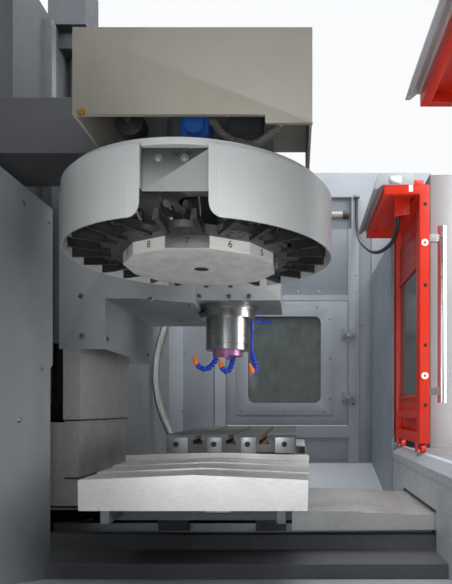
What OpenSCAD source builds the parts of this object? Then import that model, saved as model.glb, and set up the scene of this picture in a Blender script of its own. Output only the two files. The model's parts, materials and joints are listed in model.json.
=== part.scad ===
// Vertical machining centre with an umbrella tool magazine, seen through its open left side door.
// X runs to the machine's right, Y to its rear and Z up. Every piece is drawn with the spindle axis
// at X = 0, Y = 0 and the floor at Z = 0, and placed() then centres the footprint on the origin.

/* [Spindle and head] */
// Height of the spindle nose above the floor
nose_z = 1147; // [1130:1:1160]
// Diameter of the spindle nose
nose_d = 160; // [140:1:170]
// Length of the spindle nose below its flange
nose_len = 116; // [90:1:140]
// Diameter of the spindle flange
flange_d = 204; // [190:1:210]
// Thickness of the spindle flange
flange_t = 30; // [20:1:36]
// Diameter of the black seal ring above the flange
seal_d = 220; // [212:1:226]
// Thickness of the seal ring
seal_t = 13; // [8:1:18]
// Diameter of the rotating nose ring
rotor_d = 110; // [90:1:120]
// Large diameter of the tool taper
taper_d = 44.45; // [40:0.05:50]
// Half width of the head around the spindle
head_half = 150; // [140:1:158]
// Reach of the head in front of the spindle axis
head_front = 200; // [190:1:230]
// Half width of the cover around the head's carriage
carriage_half = 299; // [290:1:305]
// Upward travel of the head
head_up = 320; // [250:1:325]
// Downward travel of the head
head_down = 180; // [120:1:185]

/* [Table and saddle] */
// Length of the table
table_l = 920; // [860:1:940]
// Width of the table
table_w = 400; // [380:1:420]
// Thickness of the table slab
table_t = 55; // [45:1:60]
// Height of the table top above the floor
table_top = 850; // [840:1:860]
// Pitch of the T-slots
slot_pitch = 102; // [80:1:110]
// Width of the T-slots
slot_w = 18; // [14:1:22]
// Table centre in X, as photographed
table_x = 100; // [90:1:110]
// Table centre in Y, as photographed
table_y = -54; // [-60:1:-45]
// Table travel towards the left
table_left = 400; // [300:1:400]
// Table travel towards the right
table_right = 200; // [150:1:200]
// Saddle travel towards the front
saddle_front = 250; // [240:1:255]
// Saddle travel towards the rear
saddle_rear = 145; // [100:1:150]
// Width of the telescopic way covers
cover_w = 566; // [550:1:572]
// Sheet thickness of the telescopic covers
cover_t = 2; // [1.5:0.5:2.5]

/* [Tool magazine] */
// Number of tool pockets
pockets = 12; // [8:1:12]
// Radius of the drum cover
drum_r = 350; // [346:1:352]
// Distance of the drum axis from the spindle axis
drum_x = 581; // [576:1:600]
// Height of the drum cover's lower rim
drum_z = 1330; // [1326:1:1340]
// Height of the drum cover
drum_h = 153; // [140:1:160]
// Sheet thickness of the drum cover
drum_t = 4; // [3:0.5:5]
// Radius from the drum axis to the tool centres
pitch_r = 300; // [294:1:302]
// Radius of the scalloped tool plate over its lobes
plate_r = 262; // [256:1:266]
// Thickness of the tool plate
plate_t = 16; // [12:1:18]
// Radius of the numbered hub over its corners
hub_r = 202; // [190:1:206]
// Depth of the numbered hub
hub_h = 30; // [24:1:34]
// Half angle of the loading cut-out in the drum cover
notch_angle = 12; // [9:1:14]
// Half angle of the drum cover's opening towards the spindle
gate_angle = 27; // [22:1:28]

/* [Enclosure] */
// Distance from the machine's centre to the inside of a side wall
inside_half = 1240; // [1230:1:1260]
// Thickness of the side walls
wall_t = 60; // [50:1:70]
// Height of the side walls
wall_top = 2335; // [2300:1:2360]
// Height of the lower edge of the side walls above the floor
wall_foot = 150; // [120:1:180]
// Rear end of the side walls
wall_rear = 700; // [680:1:760]
// Front face of the front housings
front_y = -1060; // [-1090:1:-1040]
// Height of the front housings
housing_top = 2020; // [1980:1:2060]
// Half width of the opening between the front housings
gate_half = 521; // [510:1:530]
// Height of the chip pans at the side walls
pan_wall_z = 609; // [600:1:615]
// Height of the rear guards
guard_top = 1535; // [1500:1:1540]
// Front face of the rear guards
guard_y = 484; // [480:1:490]
// Sheet thickness of the inner guards
guard_t = 7; // [4:1:8]

/* [Doors] */
// Width of one front door
door_w = 544; // [535:1:550]
// Thickness of the front doors
door_t = 37; // [32:1:40]
// Lower edge of the front doors
door_z0 = 800; // [798:1:806]
// Upper edge of the front doors
door_z1 = 1769; // [1762:1:1780]
// Inside face of the front doors
door_y = -718; // [-722:1:-716]
// Reach of the doors' roof part towards the rear
roof_reach = 132; // [110:1:140]
// Thickness of the doors' roof part
roof_t = 34; // [28:1:36]
// Distance of the door handle from the door
handle_gap = 74; // [60:1:80]
// Diameter of the door handle
handle_d = 34; // [28:1:36]
// Front edge of the side door openings
side_y0 = -565; // [-575:1:-560]
// Rear edge of the right side door opening
side_y1 = 163; // [155:1:180]
// Rear edge of the left side door opening
left_y1 = 250; // [245:1:270]
// Lower edge of the right side door opening
side_z0 = 831; // [826:1:840]
// Lower edge of the left side door opening
left_z0 = 640; // [635:1:700]
// Upper edge of the side door openings
side_z1 = 1577; // [1560:1:1580]

/* [Base and column] */
// Half width of the base casting at the ways
base_half = 430; // [420:1:450]
// Height of the way pedestals
way_z = 520; // [516:1:524]
// Half distance between the Y rails
y_rail_x = 215; // [205:1:215]
// Front face of the column
column_y = 600; // [598:1:606]
// Depth of the column
column_d = 580; // [520:1:600]
// Half width of the column
column_half = 400; // [396:1:420]
// Height of the column top above the floor
column_top = 2290; // [2270:1:2310]
// Depth of the electrical cabinet
cabinet_d = 300; // [260:1:340]
// Half width of the electrical cabinet
cabinet_half = 600; // [560:1:640]

/* [Hidden] */
$fn = 64;

run_gap = 0.3;          // running clearance of guides, shafts and screws
eps = 0.01;             // overshoot of cuts

// Heights of the head, from the spindle nose up
flange_z = nose_z + nose_len;
seal_z = flange_z + flange_t;
under_z = seal_z + seal_t;
arm_under_z = under_z - 23;
skirt_z = nose_z - 26;
head_top = under_z + 319;
carriage_y = 356;
carriage_back = 503;
shell_t = 4;

// Heights of the ways, from the base up
rail_w = 34;
rail_h = 30;
block_w = 70;
saddle_z = way_z + 80;
saddle_top = saddle_z + 100;
table_under = table_top - table_t;
table_block_z = table_under - 20;
x_rail_h = 24;
x_rail_y = 130;
cover_y = table_y + 42;
cover_rise = 12;
cover_step = 3;
cover_ridge = table_under - 13;
cover_end = 771;
cover_len = 236;

// Telescopic cover in front of the column
z_cover_half = 261;
z_cover_y = 450;
z_nest = 7;
carriage_plate_y = 506;
carriage_plate_t = 42;

// Footprint, which placed() centres
hinge_out = 9;
outside_half = inside_half + wall_t;
panel_d = 60;
cabinet_y = column_y + column_d;
strip_t = 5;
button_out = 16;
pull_d = 24;
left_reach = outside_half + 2*hinge_out + wall_t + strip_t;
right_reach = outside_half + hinge_out + 8;
rear_reach = cabinet_y + cabinet_d + 26 + pull_d;
mid_x = (right_reach - left_reach)/2;
mid_y = (rear_reach + front_y - panel_d - button_out)/2;

module placed() translate([-mid_x, -mid_y, 0]) children();

module slab(x, y, z) translate([x[0], y[0], z[0]])
    cube([x[1] - x[0], y[1] - y[0], z[1] - z[0]]);

module both_sides() {
    children();
    mirror([1, 0, 0]) children();
}

// Upright plate or bar from an outline in X and Y
module upright(outline, z) translate([0, 0, z[0]]) linear_extrude(z[1] - z[0]) polygon(outline);

// Bar along X from an outline in Y and Z
module along_x(outline, x) translate([x[0], 0, 0]) rotate([90, 0, 90])
    linear_extrude(x[1] - x[0]) polygon(outline);

// Bar along Y from an outline in X and Z
module along_y(outline, y) translate([0, y[1], 0]) rotate([90, 0, 0])
    linear_extrude(y[1] - y[0]) polygon(outline);

module rod(from, axis, length, r) translate(from)
    rotate(axis == "x" ? [0, 90, 0] : axis == "y" ? [-90, 0, 0] : [0, 0, 0]) cylinder(h = length, r = r);

function unit(v) = v/norm(v);
function tangent(p, i) = unit(p[min(i + 1, len(p) - 1)] - p[max(i - 1, 0)]);

// Tube along a route; side is a direction that the route never follows
module tube(route, r, side, sides = 10) {
    ring = [for (i = [0 : len(route) - 1])
        let (t = tangent(route, i), u = unit(cross(side, t)), v = cross(t, u))
        for (k = [0 : sides - 1]) route[i] + r*cos(360*k/sides)*u + r*sin(360*k/sides)*v];
    last = (len(route) - 1)*sides;
    walls = [for (i = [0 : len(route) - 2], k = [0 : sides - 1])
        let (a = i*sides + k, b = i*sides + (k + 1)%sides) [a, a + sides, b + sides, b]];
    ends = [[for (k = [0 : sides - 1]) k], [for (k = [sides - 1 : -1 : 0]) last + k]];
    polyhedron(points = ring, faces = concat(walls, ends), convexity = 6);
}

// Linear guide rail, with its bolt holes left to the finish
module rail(x, y, z) slab(x, y, z);

// Base and column

pedestal = [165, 265];
base_floor = way_z - 50;
column_foot = way_z + 25;
arch_half = 275;
arch_top = column_foot + 215;
base_front = -770;
base_under = 70;

module base() color("#6f7376") placed() difference() {
    union() {
        slab([-base_half, base_half], [base_front, column_y - 40], [base_under, base_floor]);
        slab([-base_half - 50, base_half + 50], [column_y - 40, cabinet_y], [base_under, base_floor]);
        both_sides() {
            slab(pedestal, [base_front + 40, column_y - 40], [base_floor - eps, way_z]);
            slab([arch_half - 25, base_half + 50], [column_y, cabinet_y], [base_floor - eps, column_foot]);
        }
    }
    // cored pockets in the sides of the bed
    both_sides() for (y = [-600, -280, 40])
        slab([base_half - 60, base_half + 1], [y, y + 240], [base_under + 60, base_floor - 90]);
}

foot_r = 70;
wall_foot_r = 45;
feet = [for (y = [base_front + 90, -60, column_y + 120, cabinet_y - 100]) for (x = [-1, 1])
    [x*(base_half - 70), y]];
wall_feet = [for (y = [front_y + 120, wall_rear - 100]) for (x = [-1, 1]) [x*(inside_half + wall_t/2), y]];

module foot(at, top, r) translate([at[0], at[1], 0]) {
    cylinder(h = 22, r = r);
    translate([0, 0, 22]) cylinder(h = top - 22, r = 18);
    translate([0, 0, 22]) cylinder(h = 18, r = 28, $fn = 6);
}

module leveling_feet() color("#3c3f42") placed() {
    for (f = feet) foot(f, base_under, foot_r);
    for (f = wall_feet) foot(f, wall_foot, wall_foot_r);
}

module column() color("#6f7376") placed() difference() {
    upright([[-column_half, column_y], [column_half, column_y], [column_half, column_y + 180],
        [column_half - 70, cabinet_y], [-column_half + 70, cabinet_y], [-column_half, column_y + 180]],
        [column_foot, column_top]);
    slab([-arch_half, arch_half], [column_y - 1, cabinet_y + 1], [column_foot - 1, arch_top]);
    // cored pockets between the ribs of the side walls
    both_sides() for (z = [column_foot + 320 : 400 : column_top - 360])
        slab([column_half - 60, column_half + 1], [column_y + 60, column_y + 170], [z, z + 300]);
}

z_rail_x = 190;
z_block_z = [under_z - 100, under_z + 440];
z_rail_z = [z_block_z[0] - head_down - 76, z_block_z[1] + head_up + 174];
y_rail_y = [base_front + 64, column_y - 50];

module guide_rails() color("#b9bcc0") placed() {
    both_sides() {
        rail([z_rail_x - rail_w/2, z_rail_x + rail_w/2], [column_y - rail_w, column_y], z_rail_z);
        rail([y_rail_x - rail_w/2, y_rail_x + rail_w/2], y_rail_y, [way_z, way_z + rail_h]);
    }
}

z_screw_y = column_y - 26;
z_screw_r = 20;
y_screw_z = way_z + 18;
y_screw_r = 16;

module axis_drives() color("#8d9196") placed() {
    rod([0, z_screw_y, z_rail_z[0] - 60], "z", column_top + 40 - z_rail_z[0] + 60, z_screw_r);
    difference() {
        union() {
            slab([-70, 70], [column_y - 60, column_y], [z_rail_z[0] - 50, z_rail_z[0] - 5]);
            slab([-70, 70], [column_y - 60, column_y], [column_top - 60, column_top]);
            slab([-110, 110], [column_y - 110, column_y + 100], [column_top, column_top + 20]);
        }
        rod([0, z_screw_y, z_rail_z[0] - 61], "z", column_top + 90 - z_rail_z[0], z_screw_r + run_gap);
    }
    translate([0, z_screw_y, column_top + 20]) servo([150, 150], 230);
    rod([0, base_front + 65, y_screw_z], "y", column_y + 50 - base_front - 65, y_screw_r);
    difference() {
        union() {
            slab([-45, 45], [base_front + 70, base_front + 110], [base_floor, y_screw_z + 17]);
            slab([-50, 50], [column_y, column_y + 40], [base_floor, y_screw_z + 50]);
        }
        rod([0, base_front + 39, y_screw_z], "y", column_y + 50 - base_front, y_screw_r + run_gap);
    }
    translate([0, column_y + 50, y_screw_z]) rotate([-90, 0, 0]) servo([100, 100], 170);
    slab([-50, 50], [column_y + 40, column_y + 50], [y_screw_z - 50, y_screw_z + 50]);
}

// Servo motor on its flange, standing up from the origin
module servo(size, h) difference() {
    union() {
        slab([-size[0]/2, size[0]/2], [-size[1]/2, size[1]/2], [0, 14]);
        translate([0, 0, 14]) linear_extrude(h - 14 - 40) square([size[0]*0.9, size[1]*0.9], center = true);
        translate([0, 0, h - 40]) cylinder(h = 40, r = size[0]*0.42);
    }
    for (a = [45 : 90 : 315]) rotate([0, 0, a]) translate([size[0]*0.62, 0, -1])
        cylinder(h = 16, r = size[0]*0.03);
}

// Enclosure

// Inner face details of a side wall: depth of the recessed panels between its posts and beams
panel_dip = 15;
lamp_dip = 45;
lamp_z = [2005, 2192];
lamp_y = [-585, 400];
beam_z = 1611;
post_y = -630;

module side_wall(y1, z0) difference() {
    slab([inside_half, outside_half], [front_y, wall_rear], [wall_foot, wall_top]);
    slab([inside_half - 1, outside_half + 1], [side_y0, y1], [z0, side_z1]);
    slab([inside_half - 1, inside_half + panel_dip], [side_y0, guard_y - 67], [beam_z, lamp_z[0]]);
    slab([inside_half - 1, inside_half + lamp_dip], lamp_y, lamp_z);
    slab([inside_half - 1, inside_half + panel_dip], [side_y0, y1], [pan_wall_z + 8, z0 - 69]);
    slab([inside_half - 1, inside_half + panel_dip], [door_y + 13, post_y], [pan_wall_z + 8, lamp_z[0]]);
    slab([inside_half - 1, inside_half + panel_dip], [y1 + 65, guard_y - 67], [pan_wall_z + 8, beam_z - 34]);
}

hinge_z = [0.18, 0.5, 0.82];
knuckle_r = 8;
knuckle_h = 38;

// Knuckles of a side door's hinges: the wall holds the outer two of each, the door the middle one
module wall_knuckles(y1, z0) for (f = hinge_z) {
    z = z0 + f*(side_z1 - z0);
    for (s = [-1.5, 0.5]) translate([0, 0, z + s*knuckle_h]) {
        translate([outside_half + hinge_out, y1, 0]) cylinder(h = knuckle_h, r = knuckle_r);
        slab([outside_half, outside_half + 3], [y1, y1 + 40], [0, knuckle_h]);
    }
    translate([outside_half + hinge_out, y1, z - 0.5*knuckle_h]) cylinder(h = knuckle_h, r = 4);
}

module door_knuckles(y1, z0) for (f = hinge_z) {
    z = z0 + f*(side_z1 - z0);
    difference() {
        union() {
            translate([outside_half + hinge_out, y1, z - 0.5*knuckle_h + run_gap])
                cylinder(h = knuckle_h - 2*run_gap, r = knuckle_r);
            slab([outside_half, outside_half + 3], [y1 - 44, y1],
                [z - 0.5*knuckle_h + run_gap, z + 0.5*knuckle_h - run_gap]);
        }
        translate([outside_half + hinge_out, y1, z - knuckle_h]) cylinder(h = 2*knuckle_h, r = 4 + 0.05);
    }
}

latch_z = [1006, 1380];
gland = [1222, -612, 2180];

module right_wall() color("#8d9194") placed() union() {
    side_wall(side_y1, side_z0);
    wall_knuckles(side_y1, side_z0);
    slab([gland[0] - 18, inside_half], [gland[1] - 18, gland[1] + 18], [gland[2], gland[2] + 12]);
    for (z = latch_z) latch(side_y0 - 40, z);
}

module left_wall() color("#8d9194") placed() mirror([1, 0, 0]) union() {
    side_wall(left_y1, left_z0);
    wall_knuckles(left_y1, left_z0);
}

// Side doors: a sheet-metal leaf with a window in a bolted strip frame
leaf_gap = 3;
glass_w = 432;
glass_h = 514;
strip_w = 73;
leaf_glass_t = 8;

module service_leaf(y1, z0, glass_y, glass_z) {
    gy = glass_y;
    gz = glass_z;
    difference() {
        union() {
            slab([inside_half, outside_half], [side_y0 + leaf_gap, y1 - leaf_gap],
                [z0 + leaf_gap, side_z1 - leaf_gap]);
            slab([inside_half - strip_t, inside_half], [gy - glass_w/2 - strip_w, gy + glass_w/2 + strip_w],
                [gz - glass_h/2 - strip_w, gz + glass_h/2 + strip_w]);
        }
        translate([inside_half - 6, gy, gz]) rotate([90, 0, 90]) linear_extrude(wall_t + 8)
            rounded([glass_w, glass_h], 38);
        slab([inside_half + 20, inside_half + 20 + leaf_glass_t], [gy - glass_w/2 - 20, gy + glass_w/2 + 20],
            [gz - glass_h/2 - 20, gz + glass_h/2 + 20]);
        // cup pull in the outer face
        translate([outside_half - 18, side_y0 + 60, (z0 + side_z1)/2]) rotate([0, 90, 0])
            cylinder(h = 19, r = 32);
    }
    door_knuckles(y1, z0);
}

module rounded(size, r) translate([-size[0]/2 + r, -size[1]/2 + r]) {
    square([size[0] - 2*r, size[1] - 2*r]);
    for (x = [0, size[0] - 2*r]) for (y = [0, size[1] - 2*r]) translate([x, y]) circle(r = r);
    translate([-r, 0]) square([size[0], size[1] - 2*r]);
    translate([0, -r]) square([size[0] - 2*r, size[1]]);
}

glass_lap = 20;
module leaf_glass(glass_y, glass_z) slab([inside_half + 20, inside_half + 20 + leaf_glass_t],
    [glass_y - glass_w/2 - glass_lap, glass_y + glass_w/2 + glass_lap],
    [glass_z - glass_h/2 - glass_lap, glass_z + glass_h/2 + glass_lap]);

right_glass = [-186, 1225];
left_glass = [-160, 1150];

// Half of a latch that holds a side door from inside
module latch(y, z) {
    slab([inside_half - 16, inside_half], [y, y + 36], [z - 24, z + 24]);
    slab([inside_half - 26, inside_half - 16], [y + 8, y + 28], [z - 12, z + 12]);
}

module right_service_door() color("#868a8e") placed() union() {
    service_leaf(side_y1, side_z0, right_glass[0], right_glass[1]);
    for (z = latch_z) latch(side_y0 + leaf_gap + 1, z);
}

module right_service_glass() color("#3f4b4a") placed() leaf_glass(right_glass[0], right_glass[1]);

// The left side door stands open, folded back flat against the outside of its wall
module folded_left() translate([-outside_half - hinge_out, left_y1, 0]) rotate([0, 0, 180])
    translate([outside_half + hinge_out, -left_y1, 0]) mirror([1, 0, 0]) children();

module left_service_door() color("#868a8e") placed() folded_left()
    service_leaf(left_y1, left_z0, left_glass[0], left_glass[1]);

module left_service_glass() color("#3f4b4a") placed() folded_left() leaf_glass(left_glass[0], left_glass[1]);

// Guards behind the table, on both sides of the column
right_guard_y = 500;
pan_t = 6;
pan_base_z = base_floor - 46;
apron_y = door_y + 5;

function pan_z(x) = pan_base_z + (x - base_half)*(pan_wall_z - pan_base_z)/(inside_half - base_half);

// Left rear guard: inner edge, foot on the pan, the slanted edge between them, and the liner behind it
guard_edge = 390;
guard_foot = 640;
guard_slant = [[guard_edge, 1063], [577, 918], [guard_foot, 869]];
liner_edge = guard_foot + 20;
liner_top = 1080;
liner_t = 4;

module rear_guards() color("#6d7175") placed() {
    mirror([1, 0, 0]) {
        along_y(concat([[guard_foot, pan_z(guard_foot)], [inside_half, pan_wall_z], [inside_half, guard_top],
            [guard_edge, guard_top]], guard_slant), [guard_y, guard_y + guard_t]);
        along_y([[guard_edge, base_floor], [base_half, base_floor], [base_half, pan_base_z],
            [liner_edge, pan_z(liner_edge)], [liner_edge, liner_top], [guard_edge, liner_top]],
            [guard_y + guard_t, guard_y + guard_t + liner_t]);
        slab([guard_edge, guard_edge + guard_t], [guard_y + guard_t, column_y], [base_floor, guard_top]);
    }
    along_y([[390, base_floor], [base_half, base_floor], [base_half, pan_base_z], [inside_half, pan_wall_z],
        [inside_half, guard_top], [390, guard_top]], [right_guard_y, right_guard_y + guard_t]);
    slab([390, 390 + guard_t], [right_guard_y + guard_t, column_y], [base_floor, guard_top]);
}

module chip_pans() color("#a8abad") placed() {
    both_sides() {
        along_y([[base_half, pan_base_z], [inside_half, pan_wall_z], [inside_half, pan_wall_z - pan_t],
            [base_half, pan_base_z - pan_t]], [apron_y, right_guard_y + guard_t]);
        slab([y_cover_half + 8, base_half], [apron_y, apron_y + pan_t], [base_floor, y_cover_z + 5]);
        slab([base_half, gate_half], [apron_y, apron_y + pan_t], [pan_base_z - pan_t, y_cover_z + 5]);
    }
    slab([-gate_half, gate_half], [apron_y, apron_y + pan_t], [y_cover_z + 4, sill_z]);
    // drain boss under the hose
    translate([hose_x, 366, pan_z(hose_x - hose_boss_r) - 2])
        cylinder(h = hose_end_z - pan_z(hose_x - hose_boss_r) + 2, r = hose_boss_r);
}

front_guard_y = door_y + 6;
front_guard_top = door_z1 - roof_t - 8;

module front_guards() color("#7d858c") placed() both_sides() {
    along_y([[gate_half, pan_z(gate_half)], [inside_half, pan_wall_z], [inside_half, front_guard_top],
        [gate_half, front_guard_top]], [front_guard_y, front_guard_y + guard_t]);
    slab([gate_half, gate_half + 87], [front_guard_y + guard_t, front_guard_y + guard_t + 3],
        [pan_wall_z, front_guard_top]);
}

housing_back = -880;
bevel = 70;

module front_housings() color("#c6c8ca") placed() both_sides() {
    difference() {
        slab([gate_half, inside_half], [front_y, housing_back], [wall_foot, housing_top]);
        slab([gate_half + 3, inside_half - 3], [front_y + bevel, housing_back - 3],
            [wall_foot + 3, housing_top - 3]);
        upright([[gate_half - 1, front_y - 1], [gate_half + bevel, front_y - 1],
            [gate_half - 1, front_y + bevel]], [wall_foot - 1, housing_top + 1]);
    }
}

sill_z = 700;
sill = [door_y - door_t - 6, door_y + 13];
track_y = door_y - door_t/2 - 7;
track_top = door_z0 - 40;

module front_skirt() color("#c6c8ca") placed() along_x([[sill[0], track_top - 10], [sill[0], track_top - 18],
    [front_y + 34, track_top - 18], [front_y + 34, 340], [front_y + 104, wall_foot],
    [front_y + 100, wall_foot - 2], [front_y + 30, 338], [front_y + 30, track_top - 10]],
    [-gate_half, gate_half]);

module door_tracks() color("#9b9ea1") placed() {
    along_x([[sill[1], sill_z], [sill[1], track_top - 32], [sill[1] - 30, track_top], [sill[0], track_top],
        [sill[0], sill_z]], [-gate_half, gate_half]);
    both_sides() along_x([[front_guard_y, sill_z], [front_guard_y, track_top - 24.5],
        [sill[1] - 30, track_top], [sill[0], track_top], [sill[0], sill_z]], [gate_half, inside_half]);
}

lamp_r = 19;
lamp_at = [inside_half + 22, lamp_y[0] + 14, 2094];

module work_light() color("#e8e4d8") placed() {
    rod(lamp_at, "y", lamp_y[1] - lamp_y[0] - 28, lamp_r);
    for (y = [lamp_y[0] + 60, lamp_y[1] - 90]) slab([lamp_at[0], inside_half + lamp_dip], [y, y + 30],
        [lamp_at[2] - 12, lamp_at[2] + 12]);
}

// Electrical cabinet on the back of the column
cabinet_z = [320, 2120];

module electrical_cabinet() color("#c6c8ca") placed() difference() {
    slab([-cabinet_half, cabinet_half], [cabinet_y, cabinet_y + cabinet_d], cabinet_z);
    slab([-cabinet_half + 30, cabinet_half - 30], [cabinet_y + 20, cabinet_y + cabinet_d + 1],
        [cabinet_z[0] + 30, cabinet_z[1] - 30]);
}

cabinet_hinge = [-cabinet_half - 7, cabinet_y + cabinet_d + 20];

pull_z = [1150, 1330];
leaf_back = cabinet_y + cabinet_d + 26;

module cabinet_door() color("#c6c8ca") placed() union() {
    slab([-cabinet_half + 2, cabinet_half], [cabinet_y + cabinet_d + run_gap, leaf_back],
        [cabinet_z[0] + 2, cabinet_z[1] - 2]);
    for (z = [cabinet_z[0] + 250, cabinet_z[1] - 250]) {
        translate([cabinet_hinge[0], cabinet_hinge[1], z - 40]) cylinder(h = 80, r = 6);
        slab([cabinet_hinge[0], -cabinet_half + 3], [cabinet_hinge[1], cabinet_hinge[1] + 6],
            [z - 40, z + 40]);
    }
    slab([cabinet_half - 90, cabinet_half - 60], [leaf_back, leaf_back + pull_d], pull_z);
}

// Operator panel on the right front housing
panel_x = [640, 1120];
panel_z = [1050, 1680];

module operator_panel() color("#4a4e52") placed() difference() {
    union() {
        slab(panel_x, [front_y - panel_d + 8, front_y], panel_z);
        slab([panel_x[0] + 10, panel_x[1] - 10], [front_y - panel_d + 2, front_y - panel_d + 8],
            [panel_z[0] + 10, panel_z[1] - 10]);
    }
    // screen recess
    slab([panel_x[0] + 60, panel_x[1] - 60], [front_y - panel_d, front_y - panel_d + 8],
        [panel_z[1] - 300, panel_z[1] - 50]);
    // bores of the stop button and the dial
    rod([panel_x[1] - 70, front_y - panel_d, panel_z[0] + 80], "y", 24, 11.3);
    rod([panel_x[1] - 180, front_y - panel_d, panel_z[0] + 80], "y", 20, 5.3);
}

stop_at = [panel_x[1] - 70, front_y - panel_d + 2, panel_z[0] + 80];
dial_at = [panel_x[1] - 180, front_y - panel_d + 2, panel_z[0] + 80];

module stop_button() color("#c0261e") placed() translate(stop_at) rotate([90, 0, 0]) {
    translate([0, 0, -12]) cylinder(h = 20, r = 11);
    translate([0, 0, 8]) cylinder(h = 10, r = 20);
}

module feed_dial() color("#24272a") placed() translate(dial_at) rotate([90, 0, 0]) {
    translate([0, 0, -10]) cylinder(h = 12, r = 5);
    translate([0, 0, 1]) cylinder(h = 14, r = 17);
    translate([-2, 4, 15]) cube([4, 12, 1.5]);
}

// Doors: an L of a front panel and a roof part, riding on rollers in the gutter
door_x0 = 6;
stile = 60;
window_z = [940, 1640];
roller_r = 18;

module door_frame() {
    x = [door_x0, door_x0 + door_w];
    y = [door_y - door_t, door_y];
    difference() {
        union() {
            slab(x, y, [door_z0, door_z1]);
            slab(x, [door_y, door_y + roof_reach], [door_z1 - roof_t, door_z1]);
        }
        // dished inside face between the stiles
        slab([x[0] + stile, x[1] - stile], [y[0] + 12, y[1] + 1], [door_z0 + 40, door_z1 - roof_t]);
        // window
        slab([x[0] + stile + 20, x[1] - stile - 20], [y[0] - 1, y[1] + 1], window_z);
        // dished underside of the roof part
        slab([x[0] + 24, x[1] - 24], [door_y + 10, door_y + roof_reach - 24],
            [door_z1 - roof_t - 1, door_z1 - 6]);
    }
    // cross member under the window
    slab([x[0] + stile, x[1] - stile], [y[0] + 12, y[1]], [window_z[0] - 46, window_z[0] - 14]);
    // rubber buffers on the closing edge
    for (z = [1054, 1552]) rod([x[0] - 4, door_y - door_t/2, z], "x", 4, 13);
    // rollers with their lugs
    for (rx = [x[0] + 70, x[1] - 70]) difference() {
        union() {
            rod([rx, track_y - 7, track_top + roller_r], "y", 14, roller_r);
            for (s = [-1, 1]) slab([rx - 16, rx + 16], s < 0 ? [y[0], y[0] + 5] : [y[1] - 5, y[1]],
                [track_top + 4, door_z0]);
            rod([rx, y[0], track_top + roller_r], "y", door_t, 5);
        }
        slab([rx - 20, rx + 20], [track_y - 8, track_y + 8], [door_z0, door_z0 + eps]);
    }
}

module door_glass() slab([door_x0 + stile + 6, door_x0 + door_w - stile - 6],
    [door_y - door_t + 12, door_y - door_t + 20], [window_z[0] - 14, window_z[1] + 14]);

handle_z = [953, 1625];

module door_handle() {
    y = door_y - door_t - handle_gap + handle_d/2;
    rod([door_x0 + 40, y, handle_z[0]], "z", handle_z[1] - handle_z[0], handle_d/2);
    for (z = [handle_z[0] + 45, handle_z[1] - 45]) difference() {
        slab([door_x0 + 30, door_x0 + 50], [y, door_y - door_t], [z - 14, z + 14]);
        rod([door_x0 + 40, y, z - 20], "z", 40, handle_d/2 - eps);
    }
}

// Bracket under the roof part of the right door, where the conduit ends
conduit_end = [90, -651, 1678];

module conduit_bracket() {
    slab([conduit_end[0] - 12, conduit_end[0] + 12], [conduit_end[1] - 13, conduit_end[1] + 13],
        [conduit_end[2], conduit_end[2] + 6]);
    slab([conduit_end[0] - 4, conduit_end[0] + 2], [door_y + 21, conduit_end[1] + 13],
        [conduit_end[2] + 6 - eps, door_z1 - 6 + eps]);
}

module right_door() color("#c8281a") placed() {
    door_frame();
    conduit_bracket();
}

module right_door_glass() color("#3f4b4a") placed() door_glass();
module right_door_handle() color("#b9bcc0") placed() door_handle();

// The left front door stands open, behind its front housing
left_open = inside_half - 650;
module opened_left() translate([-left_open, 0, 0]) mirror([1, 0, 0]) children();
module left_door() color("#c8281a") placed() opened_left() door_frame();
module left_door_glass() color("#3f4b4a") placed() opened_left() door_glass();
module left_door_handle() color("#b9bcc0") placed() opened_left() door_handle();

// Hoses

hose_x = 810;
hose_r = 21;
hose_boss_r = 30;
hose_end_z = pan_z(hose_x + hose_boss_r) + 4;
hose_route = [[hose_x, 500, 1508], [hose_x, 462, 1508], [hose_x, 428, 1488], [hose_x, 408, 1450],
    [hose_x, 407, 1410], [hose_x, 419, 1373], [hose_x, 436, 1315], [hose_x, 453, 1256],
    [hose_x, 465, 1200], [hose_x, 471, 1135], [hose_x, 471, 1066], [hose_x, 460, 990],
    [hose_x, 442, 918], [hose_x, 420, 860], [hose_x, 397, 807], [hose_x, 375, 740],
    [hose_x, 367, 680], [hose_x, 366, 620], [hose_x, 366, 560], [hose_x, 366, hose_end_z]];

module braided_hose() color("#b9bcc0") placed() tube(hose_route, hose_r, [1, 0, 0]);

conduit_route = [gland, [1222, -612, 2120], [1218, -612, 2060], [1205, -613, 2002],
    [1172, -615, 1946], [1105, -618, 1893], [1005, -622, 1843], [900, -626, 1795],
    [800, -630, 1752], [700, -634, 1715], [600, -637, 1683], [500, -640, 1657], [400, -643, 1637],
    [305, -646, 1623], [220, -649, 1616], [152, -651, 1620], [112, -651, 1636], [93, -651, 1657],
    [conduit_end[0], conduit_end[1], conduit_end[2] - 8], conduit_end];

module door_conduit() color("#1c1d1f") placed() tube(conduit_route, 8.5, [0, 1, 0]);

// Telescopic covers

// Line of a sheet bent to a gable over a way, shifted outwards by d, for the nesting level k
cover_nest = 4;
skirt_bottom = cover_ridge - cover_rise - 74;
function ridge_line(k, d) = let (h = cover_w/2 - cover_nest*k + d, z = cover_ridge - cover_step*k + d)
    [[cover_y - h, skirt_bottom], [cover_y - h, z - cover_rise], [cover_y, z],
    [cover_y + h, z - cover_rise], [cover_y + h, skirt_bottom]];

module band(outer, inner, x) along_x(concat(outer, [for (i = [len(inner) - 1 : -1 : 0]) inner[i]]), x);

function left_at(k) = left_edge - k*(cover_end + left_edge)/3;
function right_at(k) = right_edge + k*(cover_end - right_edge)/3;
left_edge = table_x - table_l/2;
right_edge = table_x + table_l/2;
lip_l = 10;
flange_drop = 9;
stay_y = 110;
stay_z = cover_ridge - cover_rise*stay_y/(cover_w/2) - cover_t/2;

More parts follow.
